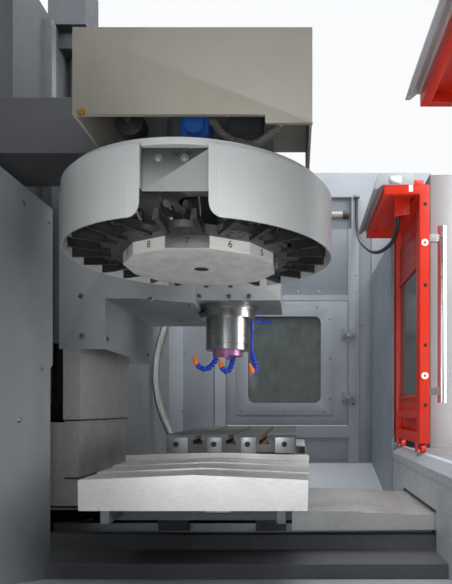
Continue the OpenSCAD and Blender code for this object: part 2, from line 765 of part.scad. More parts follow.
// One section, with a wiper lip at its outer end that runs on the section beneath
module x_section(k, x, lip) {
    band(ridge_line(k, 0), ridge_line(k, -cover_t), x);
    if (k < 3) band(ridge_line(k, 0), ridge_line(k + 1, run_gap), lip);
}

module left_section(k) x_section(k, [left_at(k), left_at(k) + cover_len], [left_at(k), left_at(k) + lip_l]);
module right_section(k)
    x_section(k, [right_at(k) - cover_len, right_at(k)], [right_at(k) - lip_l, right_at(k)]);

// Upstand that closes the gap between the first section and the underside of the table's overhang
module end_flange(x) let (h = cover_w/2) band([[cover_y - h, cover_ridge - cover_rise],
    [cover_y - h, table_under - flange_drop], [cover_y, table_under],
    [cover_y + h, table_under - flange_drop], [cover_y + h, cover_ridge - cover_rise]],
    [[cover_y - h + 1, cover_ridge - cover_rise],
    [cover_y, cover_ridge - 1], [cover_y + h - 1, cover_ridge - cover_rise]], x);

module x_cover_tops() color("#c9cbcd") placed() {
    left_section(0);
    right_section(0);
    end_flange([left_edge, left_edge + 3]);
    end_flange([right_edge - 3, right_edge]);
    for (x = [left_edge + 20, right_edge - 40]) for (y = [-stay_y, stay_y])
        slab([x, x + 20], [cover_y + y - 6, cover_y + y + 6], [stay_z, table_under]);
}

module x_cover_left_a() color("#c3c5c7") placed() left_section(1);
module x_cover_left_b() color("#bdbfc1") placed() left_section(2);
module x_cover_right_a() color("#c3c5c7") placed() right_section(1);
module x_cover_right_b() color("#bdbfc1") placed() right_section(2);

end_rest = saddle_top - 12;
end_half = cover_w/2 - 3*cover_nest - cover_t/2;
end_top = cover_ridge - 3*cover_step - cover_t/2;

module x_cover_ends() color("#b7b9bb") placed() {
    left_section(3);
    right_section(3);
    for (x = [-cover_end, cover_end - 6]) along_x([[cover_y - end_half, end_rest],
        [cover_y - end_half, end_top - cover_rise], [cover_y, end_top],
        [cover_y + end_half, end_top - cover_rise], [cover_y + end_half, end_rest]], [x, x + 6]);
}

// Folded sheet in front of the column, for the nesting level k
function fold(k, d, back) = let (h = z_cover_half - z_nest*k + d, y = z_cover_y + z_nest*k - d)
    [[-h, back], [-h, y], [h, y], [h, back]];

module z_band(outer, inner, z) upright(concat(outer, [for (i = [len(inner) - 1 : -1 : 0]) inner[i]]), z);

module z_section(k, z, back) {
    z_band(fold(k, 0, back), fold(k, -cover_t, back), z);
    if (k < 2) z_band(fold(k, 0, back), fold(k + 1, run_gap, back), [z[0], z[0] + lip_l]);
}

module z_cover_upper() color("#b4b6b8") placed() {
    z_section(0, [890, 1200], carriage_plate_y);
    slab([-z_cover_half, z_cover_half], [z_cover_y, carriage_plate_y], [1198, 1200]);
}

module z_cover_middle() color("#aeb0b2") placed() z_section(1, [700, 1080], carriage_plate_y - 2);
module z_cover_lower() color("#a8aaac") placed() z_section(2, [saddle_z + 10, 885], column_y);

y_cover_z = way_z + 78;
y_cover_half = y_rail_x + 62;
y_cover_len = 228;
y_step = 6;
saddle_y = [cover_y - 230, cover_y + 230];
y_fixed = saddle_y[0] - saddle_front - y_cover_len - 2;
function y_line(k, d) = let (h = y_cover_half - cover_nest*k + d, z = y_cover_z - y_step*k + d)
    [[-h, y_cover_z - 62], [-h, z], [h, z], [h, y_cover_z - 62]];

module y_band(outer, inner, y) along_y(concat(outer, [for (i = [len(inner) - 1 : -1 : 0]) inner[i]]), y);

module y_section(k, y) {
    y_band(y_line(k, 0), y_line(k, -cover_t), [y, y + y_cover_len]);
    if (k < 2) y_band(y_line(k, 0), y_line(k + 1, run_gap), [y, y + lip_l]);
}

module y_cover_saddle() color("#b4b6b8") placed() {
    y_section(0, saddle_y[0] - y_cover_len);
    slab([-y_cover_half, y_cover_half], [saddle_y[0] - 3, saddle_y[0]],
        [y_cover_z - cover_t, y_cover_z + 40]);
}

module y_cover_middle() color("#aeb0b2") placed() y_section(1, (saddle_y[0] - y_cover_len + y_fixed)/2);

module y_cover_fixed() color("#a8aaac") placed() {
    y_section(2, y_fixed);
    slab([-y_cover_half + 2*cover_nest, y_cover_half - 2*cover_nest], [y_fixed, y_fixed + 4],
        [way_z, y_cover_z - 2*y_step]);
}

// Saddle and table

table_blocks = [table_x - 135, table_x + 135];
boss_half = table_l/2 - cover_len;

module saddle() color("#6f7376") placed() {
    difference() {
        along_y([[-660, saddle_top], [-660, saddle_top - 55], [-420, saddle_z], [420, saddle_z],
            [660, saddle_top - 55], [660, saddle_top]], saddle_y);
        slab([-661, 661], [table_y - 34, table_y + 34], [saddle_top - 38, saddle_top + 1]);
    }
    both_sides() for (y = [saddle_y[0] + 70, saddle_y[1] - 70]) difference() {
        slab([y_rail_x - block_w/2, y_rail_x + block_w/2], [y - 50, y + 50], [way_z + 8, saddle_z]);
        slab([y_rail_x - rail_w/2 - run_gap, y_rail_x + rail_w/2 + run_gap], [y - 51, y + 51],
            [way_z + 7, way_z + rail_h + run_gap]);
    }
    difference() {
        slab([-38, 38], [cover_y - 45, cover_y + 45], [y_screw_z - 30, saddle_z]);
        rod([0, cover_y - 46, y_screw_z], "y", 92, y_screw_r + run_gap);
    }
    both_sides() for (y = [saddle_y[0] + 12, saddle_y[1] - 32])
        slab([660, cover_end], [y, y + 20], [saddle_top - 42, end_rest]);
    slab([-arch_half + 12, arch_half - 12], [saddle_y[1], saddle_y[1] + saddle_rear + 275],
        [saddle_z, saddle_z + 4]);
}

x_screw_z = saddle_top - 13;
x_screw_r = 12.5;

x_rail_x = [table_x - table_left - 350, table_x + table_right + 350];
x_screw_x = [x_rail_x[0] + 10, x_rail_x[1] + 10];

module x_drive() color("#8d9196") placed() {
    for (s = [-1, 1]) rail(x_rail_x, [table_y + s*x_rail_y - rail_w/2, table_y + s*x_rail_y + rail_w/2],
        [saddle_top, saddle_top + x_rail_h]);
    rod([x_screw_x[0], table_y, x_screw_z], "x", x_screw_x[1] - x_screw_x[0], x_screw_r);
    difference() {
        for (x = [x_screw_x[0] - 15, x_screw_x[1] - 45])
            slab([x, x + 40], [table_y - 33, table_y + 33], [saddle_top - 38, saddle_top]);
        rod([x_screw_x[0] - 60, table_y, x_screw_z], "x", x_screw_x[1] - x_screw_x[0] + 100,
            x_screw_r + run_gap);
    }
    translate([x_screw_x[1], table_y, x_screw_z]) rotate([0, 90, 0]) servo([66, 66], 96);
}

module table() color("#7a7d80") placed() difference() {
    union() {
        slab([left_edge, right_edge], [table_y - table_w/2, table_y + table_w/2], [table_under, table_top]);
        slab([table_x - boss_half, table_x + boss_half], [table_y - 175, table_y + 175],
            [saddle_top + 52, table_under]);
        for (s = [-1, 1]) for (x = table_blocks) difference() {
            slab([x - 45, x + 45], [table_y + s*x_rail_y - block_w/2, table_y + s*x_rail_y + block_w/2],
                [saddle_top + 4, saddle_top + 52]);
            slab([x - 46, x + 46],
                [table_y + s*x_rail_y - rail_w/2 - run_gap, table_y + s*x_rail_y + rail_w/2 + run_gap],
                [saddle_top, saddle_top + x_rail_h + run_gap]);
        }
        difference() {
            slab([table_x - 50, table_x + 50], [table_y - 30, table_y + 30],
                [x_screw_z - 18, saddle_top + 52]);
            rod([table_x - 51, table_y, x_screw_z], "x", 102, x_screw_r + run_gap);
        }
    }
    for (y = [table_y - slot_pitch, table_y, table_y + slot_pitch]) {
        slab([left_edge - 1, right_edge + 1], [y - slot_w/2, y + slot_w/2], [table_top - 30, table_top + 1]);
        slab([left_edge - 1, right_edge + 1], [y - slot_w*0.83, y + slot_w*0.83],
            [table_top - 30, table_top - 17]);
    }
}

// Head

head_outline = [[-carriage_half, carriage_back], [-carriage_half, 250], [-225, 89], [-head_half, 89],
    [-head_half, -head_front], [head_half, -head_front], [head_half, 100], [carriage_half, 100],
    [carriage_half, carriage_back]];
arm_rear = [[-carriage_half, carriage_y], [-carriage_half, 250], [-225, 89], [carriage_half, 89],
    [carriage_half, carriage_y]];

module head_cover() color("#8a8d8f") placed() difference() {
    union() {
        difference() {
            upright(head_outline, [under_z, head_top]);
            upright([[-carriage_half + 4, carriage_back + 1], [-carriage_half + 4, 251], [-222, 93],
                [-head_half + 4, 93], [-head_half + 4, -head_front + 4], [head_half - 4, -head_front + 4],
                [head_half - 4, 104], [carriage_half - 4, 104], [carriage_half - 4, carriage_back + 1]],
                [under_z + 4, head_top + 1]);
        }
        // lower tray under the rear of the arm
        upright(arm_rear, [arm_under_z, under_z]);
        // skirt in front of and beside the carriage
        difference() {
            slab([-carriage_half, carriage_half], [carriage_y, carriage_back], [skirt_z, under_z]);
            slab([-carriage_half + 4, carriage_half - 4], [carriage_y + 4, carriage_back + 1],
                [skirt_z - 1, under_z + 1]);
        }
    }
    upright([[-carriage_half + 4, carriage_y + 4], [carriage_half - 4, carriage_y + 4],
        [carriage_half - 4, carriage_back + 1], [-carriage_half + 4, carriage_back + 1]],
        [under_z - 1, under_z + 5]);
    translate([0, 0, arm_under_z - 1]) cylinder(h = under_z - arm_under_z + 6, r = seal_d/2 + 1);
    upright([[-carriage_half + 4, carriage_y + 5], [-carriage_half + 4, 251], [-222, 93],
        [carriage_half - 4, 93], [carriage_half - 4, carriage_y + 5]], [arm_under_z + 4, under_z + 5]);
}

cartridge_d = 150;
shaft_r = 38;
cartridge_top = under_z + 250;

module head_casting() color("#6f7376") placed() difference() {
    union() {
        upright([[-130, -110], [130, -110], [130, 300], [230, carriage_plate_y], [-230, carriage_plate_y],
            [-130, 300]], [under_z + 4, head_top - 10]);
        slab([-250, 250], [carriage_plate_y, carriage_plate_y + carriage_plate_t],
            [under_z - 160, under_z + 540]);
        both_sides() for (z = z_block_z) difference() {
            slab([z_rail_x - block_w/2, z_rail_x + block_w/2],
                [carriage_plate_y + carriage_plate_t, column_y - 8], [z - 50, z + 50]);
            slab([z_rail_x - rail_w/2 - run_gap, z_rail_x + rail_w/2 + run_gap],
                [column_y - rail_w - run_gap, column_y], [z - 51, z + 51]);
        }
        difference() {
            slab([-45, 45], [carriage_plate_y + carriage_plate_t, column_y - 2],
                [under_z + 100, under_z + 200]);
            rod([0, z_screw_y, under_z + 99], "z", 102, z_screw_r + run_gap);
        }
    }
    translate([0, 0, under_z]) cylinder(h = cartridge_top - under_z + run_gap, r = cartridge_d/2 + run_gap);
    translate([0, 0, cartridge_top]) cylinder(h = 400, r = 42);
    // relief for the front of the spindle drive
    slab([-60, 60], [200, 400], [under_z + 60, head_top]);
}

module spindle_housing() color("#b9bcc0") placed() difference() {
    union() {
        translate([0, 0, nose_z]) cylinder(h = nose_len + 1, r = nose_d/2);
        translate([0, 0, flange_z]) cylinder(h = flange_t, r = flange_d/2);
        translate([0, 0, seal_z]) cylinder(h = seal_t + 4, r = seal_d/2);
        translate([0, 0, under_z + 4]) cylinder(h = cartridge_top - under_z - 4, r = cartridge_d/2);
    }
    translate([0, 0, nose_z - 1]) cylinder(h = cartridge_top, r = shaft_r + run_gap);
    translate([0, 0, nose_z - 1]) cylinder(h = 7, r = rotor_d/2 + 1);
    rotate_extrude() translate([nose_d/2, nose_z + 20]) circle(r = 1.5);
}

module spindle() color("#a06a92") placed() difference() {
    union() {
        translate([0, 0, nose_z - 21]) cylinder(h = 26, r = rotor_d/2);
        translate([0, 0, nose_z + 4]) cylinder(h = cartridge_top + 60 - nose_z, r = shaft_r);
        for (a = [0, 180]) rotate([0, 0, a]) translate([26, -8, nose_z - 29]) cube([20, 16, 9]);
    }
    translate([0, 0, nose_z - 21.01]) cylinder(h = 69, r1 = taper_d/2, r2 = taper_d/2 - 10);
    translate([0, 0, nose_z + 47]) cylinder(h = 120, r = 9);
}

module spindle_motor() color("#3b4046") placed() difference() {
    union() {
        slab([-110, 110], [-110, 110], [head_top - 10, head_top + 12]);
        slab([-95, 95], [-95, 95], [head_top + 12, head_top + 370]);
        translate([0, 0, head_top + 370]) cylinder(h = 50, r = 88);
    }
    translate([0, 0, head_top - 11]) cylinder(h = 90, r = 40);
}

// Segmented coolant hoses, each a chain of ball joints between its route's points
segment_r = 7;
root_r = 9;
root_h = 8;
root_z = under_z - root_h - segment_r/2;

module chain(route) {
    translate([route[0][0], route[0][1], under_z - root_h]) cylinder(h = root_h, r = root_r, $fn = 24);
    for (i = [0 : len(route) - 2]) {
        d = route[i + 1] - route[i];
        n = max(1, floor(norm(d)/(segment_r*2.2)));
        for (k = [0 : n - 1]) translate(route[i] + d*k/n) sphere(r = segment_r, $fn = 24);
        translate(route[i]) rotate([0, acos(d[2]/norm(d)), atan2(d[1], d[0])])
            cylinder(h = norm(d), r = segment_r*0.78, $fn = 24);
    }
    translate(route[len(route) - 1]) sphere(r = segment_r, $fn = 24);
}

module nozzle(at, to) {
    d = to - at;
    translate(at) rotate([0, acos(d[2]/norm(d)), atan2(d[1], d[0])])
        cylinder(h = norm(d), r1 = segment_r*0.8, r2 = segment_r*0.35, $fn = 24);
}

hose_a = [[109, 55, root_z], [109, 54, 1180], [100, 62, 1128], [96, 90, 1094], [98, 114, 1088],
    [98, 132, 1105], [98, 142, 1128]];
hose_b = [[122, -8, root_z], [121, -8, 1150], [104, -8, 1110], [98, 4, 1078], [98, 22, 1068], [98, 36, 1092]];
hose_c = [[86, -88, root_z], [86, -86, 1150], [86, -96, 1110], [86, -100, 1080], [84, -88, 1064],
    [80, -78, 1082]];

module coolant_hoses() color("#1f3fb0") placed() {
    for (h = [hose_a, hose_b, hose_c]) chain(h);
    nozzle(hose_a[6], [98, 150, 1152]);
    nozzle(hose_b[5], [98, 46, 1116]);
    nozzle(hose_c[5], [76, -72, 1104]);
}

// Tool magazine

magazine_rail_z = drum_z + 385;

module magazine_arm() color("#8a8a86") placed() {
    x = [-drum_x - 309, -330];
    y = [-290, 225];
    z = magazine_rail_z + 20;
    slab(x, y, [z, z + 12]);
    slab([x[0], x[0] + 12], y, [drum_z + 230, z]);
    slab([x[0], x[0] + 12], [y[0], y[0] + 100], [drum_z + 212, drum_z + 230]);
    for (w = [[y[0], y[0] + 6], [y[1] - 6, y[1]]]) slab([x[0] + 12, x[1]], w, [drum_z + 230, z]);
    for (r = [-150, 150]) rail([x[0] + 40, x[1]], [r - 12, r + 12], [magazine_rail_z, z]);
    slab([-620, -column_half], [y[1], column_y + 300], [drum_z + 270, z + 12]);
}

plate_z = magazine_rail_z - 32;
drum_shaft_r = 40;

module magazine_carriage() color("#5c6064") placed() {
    difference() {
        union() {
            slab([-drum_x - 180, -drum_x + 180], [-190, 190], [plate_z, plate_z + 15]);
            translate([-drum_x, 0, drum_z + drum_h]) cylinder(h = plate_z - drum_z - drum_h, r = 90);
        }
        translate([-drum_x, 0, drum_z + drum_h - 1]) cylinder(h = 80, r = drum_shaft_r + run_gap);
    }
    for (r = [-150, 150]) for (x = [-drum_x - 130, -drum_x + 60]) difference() {
        slab([x, x + 70], [r - 24, r + 24], [plate_z + 15, magazine_rail_z + 14]);
        slab([x - 1, x + 71], [r - 12 - run_gap, r + 12 + run_gap],
            [magazine_rail_z - run_gap, magazine_rail_z + 15]);
    }
}

notch_half = drum_r*sin(notch_angle);
chord_x = drum_r - 30;
notch_z = 60;

module drum_cover() color("#8a8d8f") placed() translate([-drum_x, 0, drum_z]) {
    difference() {
        cylinder(h = drum_h, r = drum_r, $fn = 128);
        translate([0, 0, -1]) cylinder(h = drum_h - drum_t + 1, r = drum_r - drum_t, $fn = 128);
        translate([0, 0, -1]) cylinder(h = drum_h + 2, r = 60);
        // loading cut-out with its flat recess
        translate([-drum_r - 1, -notch_half, -1]) cube([drum_r - chord_x + 1, 2*notch_half, drum_h + 2]);
        // opening towards the spindle
        translate([0, -drum_r*sin(gate_angle), -1]) cube([drum_r + 1, 2*drum_r*sin(gate_angle), 120]);
    }
    // flat plate behind the loading cut-out, with its returns to the rim
    difference() {
        translate([-drum_r + 10, -notch_half - drum_t + 1, notch_z])
            cube([drum_r - 10 - chord_x + drum_t - 1, 2*(notch_half + drum_t - 1), drum_h - 1 - notch_z]);
        translate([-drum_r, -notch_half + 1, notch_z - 1])
            cube([drum_r - chord_x - 1, 2*(notch_half - 1), drum_h]);
    }
}

gear_y = [-45, 22];
gear_x = -drum_x - 165;
unit_z = drum_z + 261;

module magazine_motor() color("#1e4f9e") placed() {
    slab([gear_x, gear_x + 70], gear_y, [drum_z + 240, drum_z + 310]);
    translate([gear_x + 35, (gear_y[0] + gear_y[1])/2, drum_z + 310])
        cylinder(h = plate_z - drum_z - 310, r = 28);
    rod([gear_x - 22, (gear_y[0] + gear_y[1])/2, drum_z + 275], "x", 22, 24);
    slab([gear_x + 10, gear_x + 60], [-174, -94], [unit_z, plate_z]);
}

conduit_at = gear_x - 9;
magazine_route = [[gear_x + 20, gear_y[0], drum_z + 298], [gear_x + 20, -52, drum_z + 298],
    [gear_x + 15, -61, drum_z + 288],
    [gear_x + 3, -70, drum_z + 268], [conduit_at, -82, drum_z + 253], [conduit_at, -102, drum_z + 241],
    [conduit_at, -124, drum_z + 234], [conduit_at, -146, drum_z + 229], [conduit_at, -164, drum_z + 233],
    [conduit_at, -180, drum_z + 244], [conduit_at, -198, drum_z + 258], [conduit_at + 2, -216, drum_z + 275],
    [conduit_at + 8, -226, drum_z + 300], [conduit_at + 14, -224, drum_z + 328],
    [conduit_at + 18, -213, drum_z + 352], [conduit_at + 20, -200, plate_z + 7.5],
    [conduit_at + 20, -190, plate_z + 7.5]];

module magazine_conduit() color("#2a2c2e") placed() tube(magazine_route, 10, [1, 0, 0]);

module drum_plate() color("#4a4c4e") placed() translate([-drum_x, 0, drum_z + 5]) difference() {
    union() {
        cylinder(h = plate_t, r = plate_r - 27);
        for (k = [0 : pockets - 1]) rotate([0, 0, 360*k/pockets]) translate([plate_r - 52, 0, 0])
            cylinder(h = plate_t, r = 52);
        cylinder(h = drum_h + 60, r = drum_shaft_r);
    }
    for (k = [0 : pockets - 1]) rotate([0, 0, 360*k/pockets]) {
        for (s = [-1, 1]) for (x = [plate_r - 44, plate_r - 22])
            translate([x, s*16, -1]) cylinder(h = plate_t + 2, r = 5);
        translate([plate_r - 12, 0, -1]) cylinder(h = plate_t + 2, r = 3.5);
    }
}

module drum_hub() color("#b4b5b3") placed() translate([-drum_x, 0, drum_z + 5 - hub_h]) difference() {
    rotate([0, 0, 180/pockets]) cylinder(h = hub_h, r = hub_r, $fn = pockets);
    translate([0, 0, -1]) cylinder(h = hub_h - 4, r = 20);
}

finger_end = pitch_r + 31;
finger_drop = 7;

module tool_grippers() color("#1d1e20") placed() translate([-drum_x, 0, drum_z + 5])
    for (k = [0 : pockets - 1]) rotate([0, 0, 360*k/pockets]) for (s = [-1, 1]) scale([1, s, 1]) {
        translate([plate_r - 30, 34, -finger_drop]) cube([finger_end - plate_r + 30, 12, finger_drop]);
        translate([plate_r, 34, -eps]) cube([finger_end - plate_r, 12, plate_t + eps]);
    }

base();
leveling_feet();
column();
guide_rails();
axis_drives();
left_wall();
right_wall();
rear_guards();
chip_pans();
front_guards();
front_housings();
front_skirt();
door_tracks();
work_light();
electrical_cabinet();
magazine_arm();
braided_hose();
door_conduit();
operator_panel();
z_cover_lower();
z_cover_middle();
z_cover_upper();
y_cover_fixed();
y_cover_middle();
y_cover_saddle();
saddle();
x_drive();
x_cover_ends();
table();
x_cover_tops();
x_cover_left_a();
x_cover_left_b();
x_cover_right_a();
x_cover_right_b();
head_casting();
head_cover();
spindle_housing();
spindle();
spindle_motor();
coolant_hoses();
magazine_carriage();
drum_cover();
magazine_motor();
magazine_conduit();
drum_plate();
drum_hub();
tool_grippers();
right_door();
right_door_glass();
right_door_handle();
left_door();
left_door_glass();
left_door_handle();
right_service_door();
right_service_glass();
left_service_door();
left_service_glass();
cabinet_door();
stop_button();
feed_dial();
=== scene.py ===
"""Looks of an enclosed vertical machining centre, seen through its open left side door.

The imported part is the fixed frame. Each class below dresses one sub-assembly of the machine: it adds
the fasteners, hoses, numerals and edges that the solids leave out, and gives every piece its finish.
"""

import json
import logging
import math
from dataclasses import dataclass
from enum import Enum
from typing import Callable, Optional, Sequence

import bmesh
import bpy
from mathutils import Matrix, Vector
from mathutils.bvhtree import BVHTree

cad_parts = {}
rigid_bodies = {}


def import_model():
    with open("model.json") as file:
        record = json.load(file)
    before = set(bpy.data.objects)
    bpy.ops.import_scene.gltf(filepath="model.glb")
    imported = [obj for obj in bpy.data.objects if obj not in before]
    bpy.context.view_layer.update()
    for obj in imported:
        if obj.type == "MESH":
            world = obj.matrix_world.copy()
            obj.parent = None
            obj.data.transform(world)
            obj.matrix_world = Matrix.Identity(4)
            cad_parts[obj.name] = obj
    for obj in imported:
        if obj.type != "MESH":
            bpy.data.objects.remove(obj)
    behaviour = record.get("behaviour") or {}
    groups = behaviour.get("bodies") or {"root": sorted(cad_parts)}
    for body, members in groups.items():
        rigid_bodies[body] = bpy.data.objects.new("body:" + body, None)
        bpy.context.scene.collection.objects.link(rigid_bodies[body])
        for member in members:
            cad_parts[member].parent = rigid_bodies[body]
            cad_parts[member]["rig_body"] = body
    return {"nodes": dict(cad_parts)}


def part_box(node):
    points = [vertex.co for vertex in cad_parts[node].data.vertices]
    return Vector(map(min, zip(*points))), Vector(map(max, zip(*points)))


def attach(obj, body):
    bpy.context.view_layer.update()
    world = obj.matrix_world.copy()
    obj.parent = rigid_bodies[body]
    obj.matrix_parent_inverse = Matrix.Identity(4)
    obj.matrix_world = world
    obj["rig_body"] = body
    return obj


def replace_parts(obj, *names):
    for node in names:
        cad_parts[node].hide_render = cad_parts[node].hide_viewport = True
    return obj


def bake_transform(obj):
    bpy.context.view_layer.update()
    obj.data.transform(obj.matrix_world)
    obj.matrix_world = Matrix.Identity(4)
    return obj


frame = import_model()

logging.basicConfig(level=logging.INFO, format="%(message)s")
LOG = logging.getLogger("machining_centre")

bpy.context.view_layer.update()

MM = 0.001
RIGHT, LEFT = Vector((1, 0, 0)), Vector((-1, 0, 0))
BACK, FRONT = Vector((0, 1, 0)), Vector((0, -1, 0))
UP, DOWN = Vector((0, 0, 1)), Vector((0, 0, -1))

# Angles in degrees above which an edge is shaded sharp, and widths of rounded edges in metres.
SHARP = 32
SOFT = 50
CAST_EDGE = 0.004
HOUSING_EDGE = 0.003
BOX_EDGE = 0.002
DOOR_EDGE = 0.0015
SHEET_EDGE = 0.0012
SMALL_EDGE = 0.001
TABLE_EDGE = 0.0008
PLATE_EDGE = 0.0006
PAD_EDGE = 0.0003

# Numbers of sides of round pieces.
FEW_SIDES = 20
SOME_SIDES = 32
MANY_SIDES = 40

# Points of a section: radius and height in metres, or two coordinates in millimetres.
Form = Sequence[tuple[float, float]]


def srgb(red: int, green: int, blue: int) -> tuple[float, float, float]:
    """Turns a display colour into the linear one that shaders take.

    Args:
        red: red channel, 0 to 255.
        green: green channel, 0 to 255.
        blue: blue channel, 0 to 255.

    Returns:
        The linear red, green and blue values.
    """
    def linear(channel: int) -> float:
        """Turns one channel."""
        share = channel / 255
        return share / 12.92 if share <= 0.04045 else ((share + 0.055) / 1.055) ** 2.4

    return linear(red), linear(green), linear(blue)


class Body(Enum):
    """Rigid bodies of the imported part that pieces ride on."""

    FRAME = "machine_frame"
    SADDLE = "saddle_unit"
    TABLE = "table_unit"
    HEAD = "head_unit"
    COVER_Z = "cover_z"
    ROTOR = "spindle_rotor"
    MAGAZINE = "magazine_unit"
    DRUM = "tool_drum"
    RIGHT_DOOR = "right_front_door"
    LEFT_DOOR = "left_front_door"
    RIGHT_SIDE_DOOR = "right_side_door"
    LEFT_SIDE_DOOR = "left_side_door"
    CABINET = "cabinet_leaf"
    STOP = "stop"
    DIAL = "dial"


class Graph:
    """Small builder for one material's shader nodes."""

    def __init__(self, name: str) -> None:
        """Makes the material with its plain shader.

        Args:
            name: the material's name.
        """
        self.material = bpy.data.materials.new(name)
        self.material.use_nodes = True
        self.tree = self.material.node_tree
        self.shader = self.tree.nodes["Principled BSDF"]
        self.place = self.tree.nodes.new("ShaderNodeTexCoord").outputs["Object"]

    def node(self, kind: str, **values: object) -> bpy.types.Node:
        """Adds a node and sets its properties.

        Args:
            kind: Blender's node type.
            values: attributes to set on the node.

        Returns:
            The new node.
        """
        made = self.tree.nodes.new(kind)
        for key, value in values.items():
            setattr(made, key, value)
        return made

    def link(self, source: bpy.types.NodeSocket, target: bpy.types.NodeSocket) -> None:
        """Connects two sockets."""
        self.tree.links.new(source, target)

    def feed(self, name: str, source: bpy.types.NodeSocket) -> None:
        """Connects a socket to one of the shader's inputs."""
        self.link(source, self.shader.inputs[name])

    def stretched(self, scale: tuple[float, float, float]) -> bpy.types.NodeSocket:
        """Scales the object's own coordinates, which stretches a pattern along one axis.

        Args:
            scale: factors along X, Y and Z.

        Returns:
            The scaled coordinates.
        """
        mapping = self.node("ShaderNodeMapping")
        mapping.inputs["Scale"].default_value = scale
        self.link(self.place, mapping.inputs["Vector"])
        return mapping.outputs["Vector"]

    def noise(self, scale: float, detail: float = 3, rough: float = 0.55,
              place: Optional[bpy.types.NodeSocket] = None) -> bpy.types.NodeSocket:
        """Adds a cloudy pattern.

        Args:
            scale: patches per metre.
            detail: number of finer layers.
            rough: strength of the finer layers.
            place: coordinates, or the object's own where left out.

        Returns:
            The pattern's factor.
        """
        noise = self.node("ShaderNodeTexNoise")
        noise.inputs["Scale"].default_value = scale
        noise.inputs["Detail"].default_value = detail
        noise.inputs["Roughness"].default_value = rough
        self.link(place or self.place, noise.inputs["Vector"])
        return noise.outputs["Fac"]

    def spread(self, factor: bpy.types.NodeSocket, low: float, high: float,
               start: float = 0.35, end: float = 0.65) -> bpy.types.NodeSocket:
        """Maps a pattern onto a range of values.

        Args:
            factor: pattern between 0 and 1.
            low: value at start.
            high: value at end.
            start: pattern value that gives low.
            end: pattern value that gives high.

        Returns:
            The mapped value.
        """
        mapped = self.node("ShaderNodeMapRange")
        mapped.inputs["From Min"].default_value = start
        mapped.inputs["From Max"].default_value = end
        mapped.inputs["To Min"].default_value = low
        mapped.inputs["To Max"].default_value = high
        self.link(factor, mapped.inputs["Value"])
        return mapped.outputs["Result"]

    def blend(self, factor: bpy.types.NodeSocket, first: tuple | bpy.types.NodeSocket,
              second: tuple | bpy.types.NodeSocket) -> bpy.types.NodeSocket:
        """Mixes two colours by a pattern.

        Args:
            factor: share of the second colour.
            first: a linear colour or a colour socket.
            second: a linear colour or a colour socket.

        Returns:
            The mixed colour.
        """
        mix = self.node("ShaderNodeMix", data_type="RGBA")
        self.link(factor, mix.inputs["Factor"])
        for value, socket in ((first, mix.inputs[6]), (second, mix.inputs[7])):
            if isinstance(value, tuple):
                socket.default_value = (*value, 1)
            else:
                self.link(value, socket)
        return mix.outputs[2]

    def bump(self, height: bpy.types.NodeSocket, strength: float, distance: float) -> None:
        """Adds relief to the shader's normal, on top of earlier relief.

        Args:
            height: pattern that stands for height.
            strength: share of the relief that shows.
            distance: height of the relief, in metres.
        """
        bump = self.node("ShaderNodeBump")
        bump.inputs["Strength"].default_value = strength
        bump.inputs["Distance"].default_value = distance
        self.link(height, bump.inputs["Height"])
        normal = self.shader.inputs["Normal"]
        if normal.is_linked:
            self.link(normal.links[0].from_socket, bump.inputs["Normal"])
        self.link(bump.outputs["Normal"], normal)


def shade(color: tuple[float, float, float], factor: float) -> tuple[float, float, float]:
    """Darkens or lightens a linear colour.

    Args:
        color: linear colour.
        factor: below 1 darkens, above 1 lightens.

    Returns:
        The new linear colour.
    """
    return tuple(min(1.0, channel * factor) for channel in color)


@dataclass(frozen=True)
class Finish:
    """A finish that makes its Blender material once and then shares it."""

    slot: str
    color: tuple[float, float, float]

    def build(self, graph: Graph) -> None:
        """Fills in the shader; each kind of finish has its own."""
        raise NotImplementedError

    def material(self) -> bpy.types.Material:
        """Returns the finish's material, building it on first use."""
        name = f"{type(self).__name__}_{self.slot}"
        found = bpy.data.materials.get(name)
        if found is None:
            graph = Graph(name)
            self.build(graph)
            found = graph.material
        return found


@dataclass(frozen=True)
class Paint(Finish):
    """Sprayed paint with orange peel, faint cloudiness and dried coolant."""

    roughness: float = 0.42
    grime: float = 0.25
    peel: float = 0.00025

    def build(self, graph: Graph) -> None:
        """Builds the paint's shader.

        Args:
            graph: the material's node builder.
        """
        clouds = graph.spread(graph.noise(2.2, 4), 0, 1)
        body = graph.blend(clouds, shade(self.color, 0.93), shade(self.color, 1.05))
        runs = graph.noise(5, 5, 0.7)
        stains = graph.spread(runs, 0, self.grime, 0.5, 0.74)
        dull = graph.blend(stains, body, shade(self.color, 0.55))
        specks = graph.spread(graph.noise(240, 2), 0, self.grime * 0.5, 0.66, 0.72)
        graph.feed("Base Color", graph.blend(specks, dull, shade(self.color, 0.35)))
        graph.feed("Roughness", graph.spread(runs, self.roughness, self.roughness + 0.16))
        graph.bump(graph.noise(420, 2), 0.25, self.peel)


@dataclass(frozen=True)
class Sheet(Finish):
    """Bare or ground metal with its lay along one axis, and smears of oil."""

    roughness: float = 0.3
    lay: tuple[float, float, float] = (60, 60, 2)
    stain: float = 0.2
    metallic: float = 1.0
    contrast: float = 0.12

    def build(self, graph: Graph) -> None:
        """Builds the metal's shader.

        Args:
            graph: the material's node builder.
        """
        grain = graph.noise(14, 4, 0.6, graph.stretched(self.lay))
        body = graph.blend(graph.spread(grain, 0, 1), shade(self.color, 1 - self.contrast),
                           shade(self.color, 1 + self.contrast))
        smear = graph.noise(5, 5, 0.65)
        oiled = graph.spread(smear, 0, self.stain, 0.45, 0.7)
        graph.feed("Base Color", graph.blend(oiled, body, shade(self.color, 0.45)))
        graph.feed("Roughness", graph.spread(smear, self.roughness, self.roughness + 0.18))
        graph.shader.inputs["Metallic"].default_value = self.metallic
        graph.bump(grain, 0.12, 0.0002)


